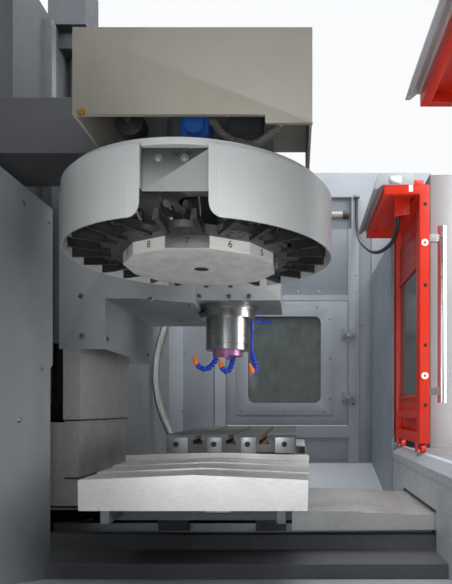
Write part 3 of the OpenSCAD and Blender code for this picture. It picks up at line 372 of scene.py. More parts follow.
@dataclass(frozen=True)
class Cast(Finish):
    """Cast iron or a casting's thick paint, with its sand texture."""

    roughness: float = 0.55
    metallic: float = 0.0

    def build(self, graph: Graph) -> None:
        """Builds the casting's shader.

        Args:
            graph: the material's node builder.
        """
        lumps = graph.noise(60, 5, 0.7)
        body = graph.blend(graph.spread(lumps, 0, 1), shade(self.color, 0.85), shade(self.color, 1.1))
        settled = graph.spread(graph.noise(7, 4, 0.7), 0, 0.5, 0.5, 0.75)
        graph.feed("Base Color", graph.blend(settled, body, shade(self.color, 0.5)))
        graph.feed("Roughness", graph.spread(lumps, self.roughness, self.roughness + 0.2))
        graph.shader.inputs["Metallic"].default_value = self.metallic
        graph.bump(lumps, 0.35, 0.0008)


@dataclass(frozen=True)
class Plastic(Finish):
    """Moulded plastic or rubber with a fine spark texture."""

    roughness: float = 0.45
    texture: float = 0.0001
    coat: float = 0.0

    def build(self, graph: Graph) -> None:
        """Builds the plastic's shader.

        Args:
            graph: the material's node builder.
        """
        grain = graph.noise(500, 3)
        dust = graph.spread(graph.noise(18, 4, 0.7), 0, 0.22, 0.5, 0.72)
        dusty = graph.blend(dust, self.color, tuple(0.7 * channel + 0.06 for channel in self.color))
        graph.feed("Base Color", dusty)
        graph.feed("Roughness", graph.spread(grain, self.roughness, self.roughness + 0.1))
        graph.shader.inputs["Coat Weight"].default_value = self.coat
        graph.bump(grain, 0.4, self.texture)


@dataclass(frozen=True)
class Glass(Finish):
    """Tinted safety glass with a haze of dried coolant."""

    alpha: float = 0.45

    def build(self, graph: Graph) -> None:
        """Builds the glass's shader.

        Args:
            graph: the material's node builder.
        """
        haze = graph.noise(16, 5, 0.7)
        graph.feed("Base Color", graph.blend(graph.spread(haze, 0, 0.3), self.color, shade(self.color, 2.2)))
        graph.feed("Roughness", graph.spread(haze, 0.05, 0.22))
        graph.feed("Alpha", graph.spread(haze, self.alpha, min(1.0, self.alpha + 0.08)))
        graph.shader.inputs["IOR"].default_value = 1.5
        graph.material.surface_render_method = "BLENDED"


@dataclass(frozen=True)
class Glow(Finish):
    """Milky tube of a lit lamp, a little dimmer in places."""

    strength: float = 1.2

    def build(self, graph: Graph) -> None:
        """Builds the tube's shader.

        Args:
            graph: the material's node builder.
        """
        bands = graph.spread(graph.noise(6, 2), 0, 1)
        tint = graph.blend(bands, shade(self.color, 0.9), self.color)
        graph.feed("Base Color", tint)
        graph.feed("Emission Color", tint)
        graph.shader.inputs["Emission Strength"].default_value = self.strength
        graph.shader.inputs["Roughness"].default_value = 0.3


@dataclass(frozen=True)
class Braid(Finish):
    """Woven steel wire over a hose."""

    pitch: float = 320
    slants: tuple[float, float] = (0.9, -0.9)

    def build(self, graph: Graph) -> None:
        """Builds the braid's shader from two crossing sets of bands.

        Args:
            graph: the material's node builder.
        """
        weave = None
        for slant in self.slants:
            mapping = graph.node("ShaderNodeMapping")
            mapping.inputs["Rotation"].default_value = (slant, slant, 0)
            graph.link(graph.place, mapping.inputs["Vector"])
            wave = graph.node("ShaderNodeTexWave", wave_type="BANDS", bands_direction="Z")
            wave.inputs["Scale"].default_value = self.pitch
            graph.link(mapping.outputs["Vector"], wave.inputs["Vector"])
            if weave is None:
                weave = wave.outputs["Fac"]
            else:
                both = graph.node("ShaderNodeMath", operation="MAXIMUM")
                graph.link(weave, both.inputs[0])
                graph.link(wave.outputs["Fac"], both.inputs[1])
                weave = both.outputs["Value"]
        graph.feed("Base Color", graph.blend(weave, shade(self.color, 0.3), self.color))
        graph.feed("Roughness", graph.spread(weave, 0.6, 0.32, 0, 1))
        graph.shader.inputs["Metallic"].default_value = 0.85
        graph.bump(weave, 0.8, 0.0012)


# Directions of a metal's lay, as factors along X, Y and Z: a small one draws the grain out.
LAY_X = (3, 60, 60)
LAY_Z = (60, 60, 3)
LAY_TURNED = (2, 2, 90)
LAY_NONE = (20, 20, 20)

WALL = Paint("wall_paint", srgb(134, 140, 147))
OUTER = Paint("outer_paint", srgb(150, 152, 154), grime=0.08)
GUARD = Paint("guard_paint", srgb(116, 120, 122), grime=0.3)
GUARD_BLUE = Paint("guard_blue", srgb(132, 140, 148), grime=0.3)
ARM = Paint("arm_paint", srgb(126, 122, 112), grime=0.2)
HEAD = Paint("head_paint", srgb(112, 115, 117), grime=0.3)
BEAM = Paint("beam_paint", srgb(52, 53, 55), grime=0.3)
DRUM = Paint("drum_paint", srgb(140, 142, 142), grime=0.08, roughness=0.36)
# Plate recessed behind the drum cover's cut-out: the drum's grey painted darker, as painted shade.
RECESS_PAINTED_SHADE = Paint("recess_painted_shade", srgb(104, 107, 107), grime=0.1)
CAP = Paint("cap_paint", srgb(150, 153, 155), grime=0.1)
CARRIAGE = Paint("carriage_paint", srgb(80, 82, 84), grime=0.3)
RED = Paint("door_red", srgb(205, 44, 22), grime=0.12, roughness=0.3)
MOTOR_BLUE = Paint("motor_blue", srgb(30, 66, 126), grime=0.3, roughness=0.35)
MOTOR_DARK = Paint("motor_dark", srgb(38, 40, 43), grime=0.3)
IRON = Cast("casting", srgb(78, 80, 83))
DARK_IRON = Cast("column_casting", srgb(56, 58, 60))
# Facet of the head's cover that faces the light: painted light, a much lighter copy of the head's grey paint.
HEAD_FACET_PAINTED_LIGHT = Paint("head_facet_painted_light", srgb(197, 193, 186), grime=0.15)
RUST = Cast("slot_rust", srgb(104, 84, 66))
TABLE_IRON = Sheet("table_iron", srgb(98, 99, 99), 0.42, LAY_X, 0.45, 0.85)
COVER = Sheet("cover_steel", srgb(172, 171, 169), 0.3, LAY_Z, 0.3, 0.65)
PAN = Sheet("pan_steel", srgb(176, 181, 186), 0.42, LAY_X, 0.2, 0.4)
GROUND = Sheet("ground_steel", srgb(150, 152, 153), 0.3, (3, 40, 40), 0.15)
DRIVE = Sheet("drive_steel", srgb(110, 113, 117), 0.4, LAY_NONE, 0.3)
FOOT = Sheet("foot_steel", srgb(70, 72, 74), 0.45, LAY_NONE, 0.3)
CHROME = Sheet("nose_chrome", srgb(176, 177, 177), 0.2, (2, 2, 70), 0.02, 1.0, 0.05)
NOSE_RING = Sheet("nose_ring", srgb(172, 120, 158), 0.3, (30, 30, 30), 0.3, 0.7)
HUB = Sheet("hub_aluminium", srgb(178, 179, 175), 0.4, LAY_TURNED, 0.12, 0.1)
TAB = Sheet("tab_steel", srgb(122, 122, 119), 0.42, LAY_TURNED, 0.15, 0.9)
LATCH = Paint("latch_zinc", srgb(206, 208, 208), grime=0.1, roughness=0.3)
PLATE = Sheet("plate_steel", srgb(92, 93, 93), 0.45, (30, 30, 30), 0.35, 0.8)
HANDLE = Sheet("handle_steel", srgb(196, 198, 200), 0.22, LAY_Z, 0.08)
BRASS = Sheet("brass", srgb(206, 160, 84), 0.3, LAY_NONE, 0.2)
BOLT = Sheet("bolt_steel", srgb(58, 58, 60), 0.38, LAY_NONE, 0.2, 0.8)
BRIGHT_BOLT = Sheet("bright_bolt", srgb(138, 138, 136), 0.38, LAY_NONE, 0.2)
SPRING = Sheet("spring_steel", srgb(205, 205, 203), 0.25, LAY_NONE, 0.1)
BLACK = Plastic("gripper_black", srgb(26, 26, 27), 0.4)
CONDUIT = Plastic("conduit_black", srgb(36, 36, 38), 0.26)
ARMOUR = Plastic("conduit_armour", srgb(78, 78, 76), 0.14)
# Lighter copy of the column covers' steel for the flat covers lit from above: painted light.
SLIDE_COVER_LIT = Sheet("slide_cover_steel_painted_light", srgb(204, 203, 200), 0.28, (3, 3, 60), 0.3, 0.65)
PANEL = Plastic("panel_plastic", srgb(64, 68, 73), 0.5)
HOSE_BLUE = Plastic("hose_blue", srgb(28, 62, 178), 0.3, coat=0.3)
NOZZLE = Plastic("nozzle_orange", srgb(232, 120, 28), 0.35)
YELLOW = Plastic("connector_yellow", srgb(228, 190, 50), 0.35)
BUTTON = Plastic("button_red", srgb(196, 28, 20), 0.3)
KNOB = Plastic("knob_black", srgb(28, 28, 30), 0.4)
WHITE_RUBBER = Plastic("buffer_white", srgb(232, 228, 218), 0.5)
INK = Plastic("numeral_ink", srgb(20, 20, 20), 0.6)
TINT = Glass("door_glass", srgb(70, 77, 75), 0.9)
TUBE = Glow("lamp_tube", srgb(140, 130, 130), 0.05)
BRAID = Braid("braid", srgb(176, 178, 178))


class Mesher:
    """Collects mesh geometry for one piece and publishes it as a Blender object."""

    def __init__(self) -> None:
        """Starts with an empty mesh."""
        self.mesh = bmesh.new()

    def box(self, low: Vector, high: Vector) -> None:
        """Adds a box between two corners.

        Args:
            low: lowest corner, in metres.
            high: highest corner, in metres.
        """
        made = bmesh.ops.create_cube(self.mesh, size=1)["verts"]
        centre = (low + high) / 2
        for vert in made:
            vert.co = Vector(vert.co[i] * (high[i] - low[i]) + centre[i] for i in range(3))

    def prism(self, outline: Sequence[Vector], reach: Vector) -> None:
        """Adds a straight bar with a given section.

        Args:
            outline: corners of the section.
            reach: the way from one end of the bar to the other.
        """
        near = [self.mesh.verts.new(corner) for corner in outline]
        far = [self.mesh.verts.new(corner + reach) for corner in outline]
        for k in range(len(near)):
            ahead = (k + 1) % len(near)
            self.mesh.faces.new((near[k], near[ahead], far[ahead], far[k]))
        self.mesh.faces.new(near)
        self.mesh.faces.new(far)

    def turned(self, profile: Sequence[tuple[float, float]], at: Vector, along: Vector,
               sides: int = 24, hex_rings: Sequence[int] = ()) -> None:
        """Adds a turned piece: a profile of radius and height spun about an axis.

        Args:
            profile: radius and height of each ring, from the base outwards.
            at: centre of the base.
            along: direction of the axis.
            sides: number of sides of each ring.
            hex_rings: rings that are hexagonal, as in a socket.
        """
        turn = along.to_track_quat("Z", "Y").to_matrix()
        rings = []
        for index, (radius, height) in enumerate(profile):
            if radius <= 0:
                rings.append([self.mesh.verts.new(at + turn @ Vector((0, 0, height)))])
                continue
            ring = []
            for k in range(sides):
                angle = 2 * math.pi * k / sides
                reach = radius
                if index in hex_rings:
                    reach *= math.cos(math.pi / 6) / math.cos(angle % (math.pi / 3) - math.pi / 6)
                corner = Vector((reach * math.cos(angle), reach * math.sin(angle), height))
                ring.append(self.mesh.verts.new(at + turn @ corner))
            rings.append(ring)
        for lower, upper in zip(rings, rings[1:]):
            for k in range(sides):
                corners = [lower[k % len(lower)], lower[(k + 1) % len(lower)],
                           upper[(k + 1) % len(upper)], upper[k % len(upper)]]
                self.mesh.faces.new(list(dict.fromkeys(corners)))
        for ring in (rings[0], rings[-1]):
            if len(ring) > 1:
                self.mesh.faces.new(ring)

    def socket_screw(self, at: Vector, along: Vector, radius: float, height: float) -> None:
        """Adds a cap screw with a hexagon socket.

        Args:
            at: centre of the head's seat.
            along: direction in which the head stands out.
            radius: radius of the head, in metres.
            height: height of the head, in metres.
        """
        self.turned([(radius, 0), (radius, height * 0.82), (radius * 0.86, height), (radius * 0.54, height),
                     (radius * 0.5, height * 0.4), (0, height * 0.4)], at, along, hex_rings=(3, 4))

    def pan_screw(self, at: Vector, along: Vector, radius: float, height: float) -> None:
        """Adds a low round-headed screw on its washer.

        Args:
            at: centre of the head's seat.
            along: direction in which the head stands out.
            radius: radius of the head, in metres.
            height: height of the head, in metres.
        """
        self.turned([(radius * 1.3, 0), (radius * 1.3, height * 0.2), (radius, height * 0.22),
                     (radius * 0.92, height * 0.7), (radius * 0.6, height), (radius * 0.34, height),
                     (radius * 0.3, height * 0.6), (0, height * 0.6)], at, along, FEW_SIDES, (5, 6))

    def swept(self, route: Sequence[Vector], radius: Callable[[float], float], side: Vector,
              sides: int = 12, step: float = 0.004) -> None:
        """Adds a tube along a smooth curve through a route's points.

        Args:
            route: the points that the curve passes through.
            radius: radius at each length along the curve, in metres.
            side: a direction that the route never follows.
            sides: number of sides of the tube.
            step: spacing of the rings, in metres.
        """
        path = smooth_path(route, step)
        rings = []
        travelled = 0.0
        for index, point in enumerate(path):
            if index:
                travelled += (point - path[index - 1]).length
            ahead = (path[min(index + 1, len(path) - 1)] - path[max(index - 1, 0)]).normalized()
            across = side.cross(ahead).normalized()
            upright = ahead.cross(across)
            reach = radius(travelled)
            rings.append([self.mesh.verts.new(point + reach * (math.cos(2 * math.pi * k / sides) * across
                                                               + math.sin(2 * math.pi * k / sides) * upright))
                          for k in range(sides)])
        for lower, upper in zip(rings, rings[1:]):
            for k in range(sides):
                self.mesh.faces.new((lower[k], lower[(k + 1) % sides], upper[(k + 1) % sides], upper[k]))
        self.mesh.faces.new(rings[0])
        self.mesh.faces.new(rings[-1])

    def publish(self, name: str, finish: Finish, body: Optional[Body], bevel: float = 0.0,
                smooth: float = SHARP) -> bpy.types.Object:
        """Turns the geometry into an object that rides on a body.

        Args:
            name: the object's name.
            finish: its finish.
            body: the body that it rides on, or nothing for a piece that lies between two.
            bevel: width of its rounded edges, in metres.
            smooth: angle in degrees below which edges are shaded smooth.

        Returns:
            The new object.
        """
        bmesh.ops.recalc_face_normals(self.mesh, faces=self.mesh.faces)
        if bevel:
            round_edges(self.mesh, bevel)
        data = bpy.data.meshes.new(name)
        self.mesh.to_mesh(data)
        self.mesh.free()
        data.polygons.foreach_set("use_smooth", [True] * len(data.polygons))
        data.set_sharp_from_angle(angle=math.radians(smooth))
        piece = bpy.data.objects.new(name, data)
        bpy.context.scene.collection.objects.link(piece)
        data.materials.append(finish.material())
        if body:
            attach(piece, body.value)
        LOG.info("%s: %d faces on %s", name, len(data.polygons), body.value if body else "two bodies")
        return piece


def smooth_path(route: Sequence[Vector], step: float) -> list[Vector]:
    """Lays a smooth curve through points and divides it evenly.

    Args:
        route: the points that the curve passes through.
        step: rough spacing of the result, in metres.

    Returns:
        The points of the curve.
    """
    ends = [2 * route[0] - route[1], *route, 2 * route[-1] - route[-2]]
    path = []
    for a, b, c, d in zip(ends, ends[1:], ends[2:], ends[3:]):
        count = max(1, round((c - b).length / step))
        for k in range(count):
            t = k / count
            path.append(0.5 * (2 * b + (c - a) * t + (2 * a - 5 * b + 4 * c - d) * t * t
                               + (3 * b - a - 3 * c + d) * t ** 3))
    return [*path, route[-1]]


WELD = 1e-5
FLAT = 0.3
ROUNDED_FROM = 28


def round_edges(mesh: bmesh.types.BMesh, width: float) -> None:
    """Rounds the sharp edges of a mesh, after joining the triangles of its flat faces.

    Args:
        mesh: the mesh to change.
        width: width of the rounding, in metres.
    """
    bmesh.ops.remove_doubles(mesh, verts=mesh.verts, dist=WELD)
    bmesh.ops.dissolve_limit(mesh, angle_limit=math.radians(FLAT), verts=mesh.verts, edges=mesh.edges)
    sharp = [edge for edge in mesh.edges
             if len(edge.link_faces) == 2 and edge.calc_face_angle(0) > math.radians(ROUNDED_FROM)]
    bmesh.ops.bevel(mesh, geom=sharp, offset=width, segments=2, profile=0.5, affect="EDGES",
                    clamp_overlap=True)


def carve(piece: bpy.types.Object, cutter: Mesher) -> None:
    """Cuts a shape out of a piece.

    Args:
        piece: the piece that is cut.
        cutter: the shape that is taken away.
    """
    bmesh.ops.recalc_face_normals(cutter.mesh, faces=cutter.mesh.faces)
    data = bpy.data.meshes.new("cutter")
    cutter.mesh.to_mesh(data)
    cutter.mesh.free()
    tool = bpy.data.objects.new("cutter", data)
    bpy.context.scene.collection.objects.link(tool)
    cut = piece.modifiers.new("cut", "BOOLEAN")
    cut.operation = "DIFFERENCE"
    cut.solver = "EXACT"
    cut.object = tool
    evaluated = piece.evaluated_get(bpy.context.evaluated_depsgraph_get())
    result = bpy.data.meshes.new_from_object(evaluated)
    result.set_sharp_from_angle(angle=math.radians(SHARP))
    piece.modifiers.clear()
    piece.data = result
    bpy.data.objects.remove(tool)


def block(name: str, low: Vector, high: Vector, finish: Finish, body: Body, bevel: float) -> None:
    """Builds one small block with rounded edges.

    Args:
        name: the object's name.
        low: lowest corner, in metres.
        high: highest corner, in metres.
        finish: its finish.
        body: the body that it rides on.
        bevel: width of its rounded edges, in metres.
    """
    made = Mesher()
    made.box(low, high)
    made.publish(name, finish, body, bevel)


@dataclass(frozen=True)
class Patch:
    """Part of a node, inside a box, that has a finish of its own."""

    finish: Finish
    low: Vector
    high: Vector

    def holds(self, point: Vector) -> bool:
        """Tells whether a point is inside the box."""
        return all(low <= value <= high for low, value, high in zip(self.low, point, self.high))


@dataclass
class Dressed:
    """A CAD node that keeps its shape and gets its finish, with rounded edges where they show."""

    node: str
    finish: Finish
    bevel: float = 0.0
    patches: Sequence[Patch] = ()

    def build(self) -> None:
        """Gives the node its finish, on a copy with rounded edges where it has a bevel."""
        source = frame["nodes"][self.node]
        if not self.bevel:
            source.data.materials.clear()
            source.data.materials.append(self.finish.material())
            LOG.info("%s: finished as %s", self.node, self.finish.slot)
            return
        copy = Mesher()
        copy.mesh.from_mesh(source.data)
        piece = copy.publish(f"{self.node}_dressed", self.finish, Body(source["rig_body"]), self.bevel)
        for slot, patch in enumerate(self.patches, 1):
            piece.data.materials.append(patch.finish.material())
            for face in piece.data.polygons:
                if patch.holds(face.center):
                    face.material_index = slot
        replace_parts(piece, self.node)


SPINDLE_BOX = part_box("spindle")
AXIS = (Vector(SPINDLE_BOX[0]) + Vector(SPINDLE_BOX[1])) / 2


def spot(x: float, y: float, z: float) -> Vector:
    """Turns millimetres from the spindle axis and the floor into a point of the frame.

    Args:
        x: distance to the right of the spindle axis.
        y: distance behind the spindle axis.
        z: height above the floor.

    Returns:
        The point, in metres.
    """
    return Vector((AXIS.x + x * MM, AXIS.y + y * MM, z * MM))


@dataclass(frozen=True)
class Seat:
    """A place on the machine that a screw or small part sits on."""

    point: Vector
    normal: Vector
    body: str


class Sight:
    """Finds the surface of the part that shows at a place in the camera's picture."""

    eye: Vector = spot(-2090, -255, 926)
    centre: tuple[float, float] = (296, 410)
    reach: float = 560

    def __init__(self, skipped: Sequence[str]) -> None:
        """Collects the faces of the part.

        Args:
            skipped: nodes that the eye looks through.
        """
        verts, faces, self.owners = [], [], []
        for name, node in frame["nodes"].items():
            if name in skipped:
                continue
            first = len(verts)
            verts.extend(vert.co.copy() for vert in node.data.vertices)
            faces.extend([first + index for index in face.vertices] for face in node.data.polygons)
            self.owners.extend([node["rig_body"]] * len(node.data.polygons))
        self.tree = BVHTree.FromPolygons(verts, faces)

    def seat(self, across: float, down: float) -> Seat:
        """Finds the seat at one place of the picture.

        Args:
            across: distance from the picture's left edge, in its 452 units.
            down: distance from the picture's top edge, in its 584 units.

        Returns:
            The seat that shows there.
        """
        aside, above = ((middle - value) / self.reach for middle, value in zip(self.centre, (across, down)))
        way = Vector((1, aside, above)).normalized()
        point, normal, index, _ = self.tree.ray_cast(self.eye, way)
        if normal.dot(way) > 0:
            normal = -normal
        return Seat(point, normal, self.owners[index])


class Head(Enum):
    """Kinds of screw heads."""

    SOCKET = "socket"
    PAN = "pan"


@dataclass
class Screws:
    """Screws of one kind, seated on what carries them."""

    name: str
    finish: Finish
    radius: float
    height: float
    head: Head
    places: Sequence[tuple[float, float]]
    sunk: float = 0.0005

    def build(self, sight: Sight) -> None:
        """Adds the screws, as one piece for each body that carries some.

        Args:
            sight: finds the seats.
        """
        groups: dict[str, Mesher] = {}
        for across, down in self.places:
            seat = sight.seat(across, down)
            mesher = groups.setdefault(seat.body, Mesher())
            add = mesher.socket_screw if self.head is Head.SOCKET else mesher.pan_screw
            add(seat.point - seat.normal * self.sunk, seat.normal, self.radius, self.height)
        for body, mesher in groups.items():
            mesher.publish(f"{self.name}_{body}", self.finish, Body(body))


def ribbed(radius: float, depth: float, pitch: float) -> Callable[[float], float]:
    """Makes the radius of a corrugated tube along its length.

    Args:
        radius: outside radius, in metres.
        depth: depth of the grooves, in metres.
        pitch: spacing of the ribs, in metres.

    Returns:
        A function from length to radius.
    """
    return lambda length: radius - depth * (0.5 - 0.5 * math.cos(2 * math.pi * length / pitch)) ** 2


@dataclass
class Cord:
    """A conduit or hose that leaves the machine at one fitting and goes back into it at another."""

    node: str
    finish: Finish
    body: Body
    route: Sequence[tuple[float, float, float]]
    radius: float
    stiffness: str
    side: Vector
    rib: Optional[tuple[float, float]] = None
    step: float = 0.004
    moved: Optional[Body] = None
    sides: int = 14
    shaded: float = 60
    measured: float = 0.004

    def build(self) -> None:
        points = [spot(*point) for point in self.route]
        profile = ribbed(self.radius, *self.rib) if self.rib else lambda length: self.radius
        tube = Mesher()
        tube.swept(points, profile, self.side, self.sides, self.step)
        piece = tube.publish(f"{self.node}_cord", self.finish, None if self.moved else self.body,
                             smooth=self.shaded)
        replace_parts(piece, self.node)
        if self.moved:
            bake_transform(piece)


# Routes of the part's source, in its millimetres.
HOSE_X = 810
HOSE_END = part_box("braided_hose")[0][2] / MM
HOSE_ROUTE = [(HOSE_X, y, z) for y, z in (
    (500, 1508), (462, 1508), (428, 1488), (408, 1450), (407, 1410), (419, 1373), (436, 1315), (453, 1256),
    (465, 1200), (471, 1135), (471, 1066), (460, 990), (442, 918), (420, 860), (397, 807), (375, 740),
    (367, 680), (366, 620), (366, 560), (366, HOSE_END))]
DOOR_ROUTE = [
    (1222, -612, 2180), (1222, -612, 2120), (1218, -612, 2060), (1205, -613, 2002), (1172, -615, 1946),
    (1105, -618, 1893), (1005, -622, 1843), (900, -626, 1795), (800, -630, 1752), (700, -634, 1715),
    (600, -637, 1683), (500, -640, 1657), (400, -643, 1637), (305, -646, 1623), (220, -649, 1616),
    (152, -651, 1620), (112, -651, 1636), (93, -651, 1657), (90, -651, 1670), (90, -651, 1678)]
MAGAZINE_ROUTE = [
    (-726, -45, 1628), (-726, -52, 1628), (-731, -61, 1618), (-743, -70, 1598), (-755, -82, 1583),
    (-755, -102, 1571), (-755, -124, 1564), (-755, -146, 1559), (-755, -164, 1563), (-755, -180, 1574),
    (-755, -198, 1588), (-753, -216, 1605), (-747, -226, 1630), (-741, -224, 1658), (-737, -213, 1682),
    (-735, -200, 1690.5), (-735, -190, 1690.5)]
CORDS = [
    Cord("braided_hose", BRAID, Body.FRAME, HOSE_ROUTE, 0.021, "stiff", RIGHT),
    Cord("door_conduit", CONDUIT, Body.FRAME, DOOR_ROUTE, 0.0085, "medium", BACK, (0.0016, 0.0062), 0.001,
         Body.RIGHT_DOOR),
    Cord("magazine_conduit", ARMOUR, Body.MAGAZINE, MAGAZINE_ROUTE, 0.010, "medium", RIGHT,
         (0.0018, 0.0056), 0.0009),
]

@dataclass
class CoolantHoses:
    """Jointed coolant hoses: blue links on ball joints, each with an orange nozzle.

    The forms of a link and a nozzle give shares of the link's radius and of their own length.
    """

    link: float = 0.0112
    pitch: float = 0.0165
    sides: int = FEW_SIDES
    pipe: float = 0.005
    pipe_flange: float = 0.011
    flange_ends: tuple[float, float] = (0.012, 0.014)
    pipe_lap: float = 0.004
    pipe_sides: int = 16
    top: float = 1280
    routes: Sequence[Sequence[tuple[float, float, float]]] = (
        ((109, 55, 1146), (104, 60, 1122), (99, 76, 1097), (97, 96, 1085), (98, 118, 1090), (98, 134, 1106)),
        ((112, -8, 1140), (107, -4, 1114), (100, 2, 1088), (98, 14, 1074), (98, 28, 1080), (98, 36, 1096)),
        ((88, -84, 1148), (88, -92, 1118), (88, -99, 1090), (86, -96, 1072), (80, -86, 1074)),
    )
    nozzles: Sequence[tuple[float, float, float]] = ((98, 146, 1142), (98, 46, 1124), (68, -76, 1106))
    link_form: Form = ((0.62, -0.12), (0.72, 0), (1, 0.3), (1, 0.6), (0.8, 0.86), (0.6, 1))
    tip_root: tuple[float, float] = (0.8, -0.006)
    tip_form: Form = ((0.95, 0), (0.95, 0.25), (0.7, 0.45), (0.34, 1), (0.2, 1), (0.2, 0.8), (0, 0.8))
    air_form: Form = ((0.0055, 0), (0.0055, 0.058))

    def build(self) -> None:
        """Builds the pipes, the links and the nozzles, and the air pipe beside them."""
        links, tips, pipes = Mesher(), Mesher(), Mesher()
        for route, tip in zip(self.routes, self.nozzles):
            points = [spot(*point) for point in route]
            root = Vector((points[0].x, points[0].y, self.top * MM))
            length = (root - points[0]).length + self.pipe_lap
            pipes.turned([(self.pipe_flange, 0), (self.pipe_flange, self.flange_ends[0]),
                          (self.pipe, self.flange_ends[1]), (self.pipe, length)], root, DOWN, self.pipe_sides)
            path = smooth_path(points, self.pitch)
            for here, ahead in zip(path, path[1:]):
                along = ahead - here
                links.turned([(self.link * wide, along.length * far) for wide, far in self.link_form], here,
                             along.normalized(), self.sides)
            way = spot(*tip) - points[-1]
            tips.turned([(self.link * self.tip_root[0], self.tip_root[1]),
                         *((self.link * wide, way.length * far) for wide, far in self.tip_form)], points[-1],
                        way.normalized(), self.sides)
        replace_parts(links.publish("coolant_hose_links", HOSE_BLUE, Body.HEAD, smooth=SOFT), "coolant_hoses")
        tips.publish("coolant_nozzles", NOZZLE, Body.HEAD, smooth=SOFT)
        pipes.publish("coolant_pipes", HOSE_BLUE, Body.HEAD, smooth=SOFT)
        air = Mesher()
        air.turned(self.air_form, spot(100, -162, 1267), BACK, self.sides)
        air.box(spot(93, -118, 1261), spot(107, -104, 1284))
        air.publish("air_pipe", HOSE_BLUE, Body.HEAD, SMALL_EDGE, smooth=SOFT)
        block("air_connector", spot(94, -89, 1240), spot(106, -78, 1284), YELLOW, Body.HEAD, SMALL_EDGE)


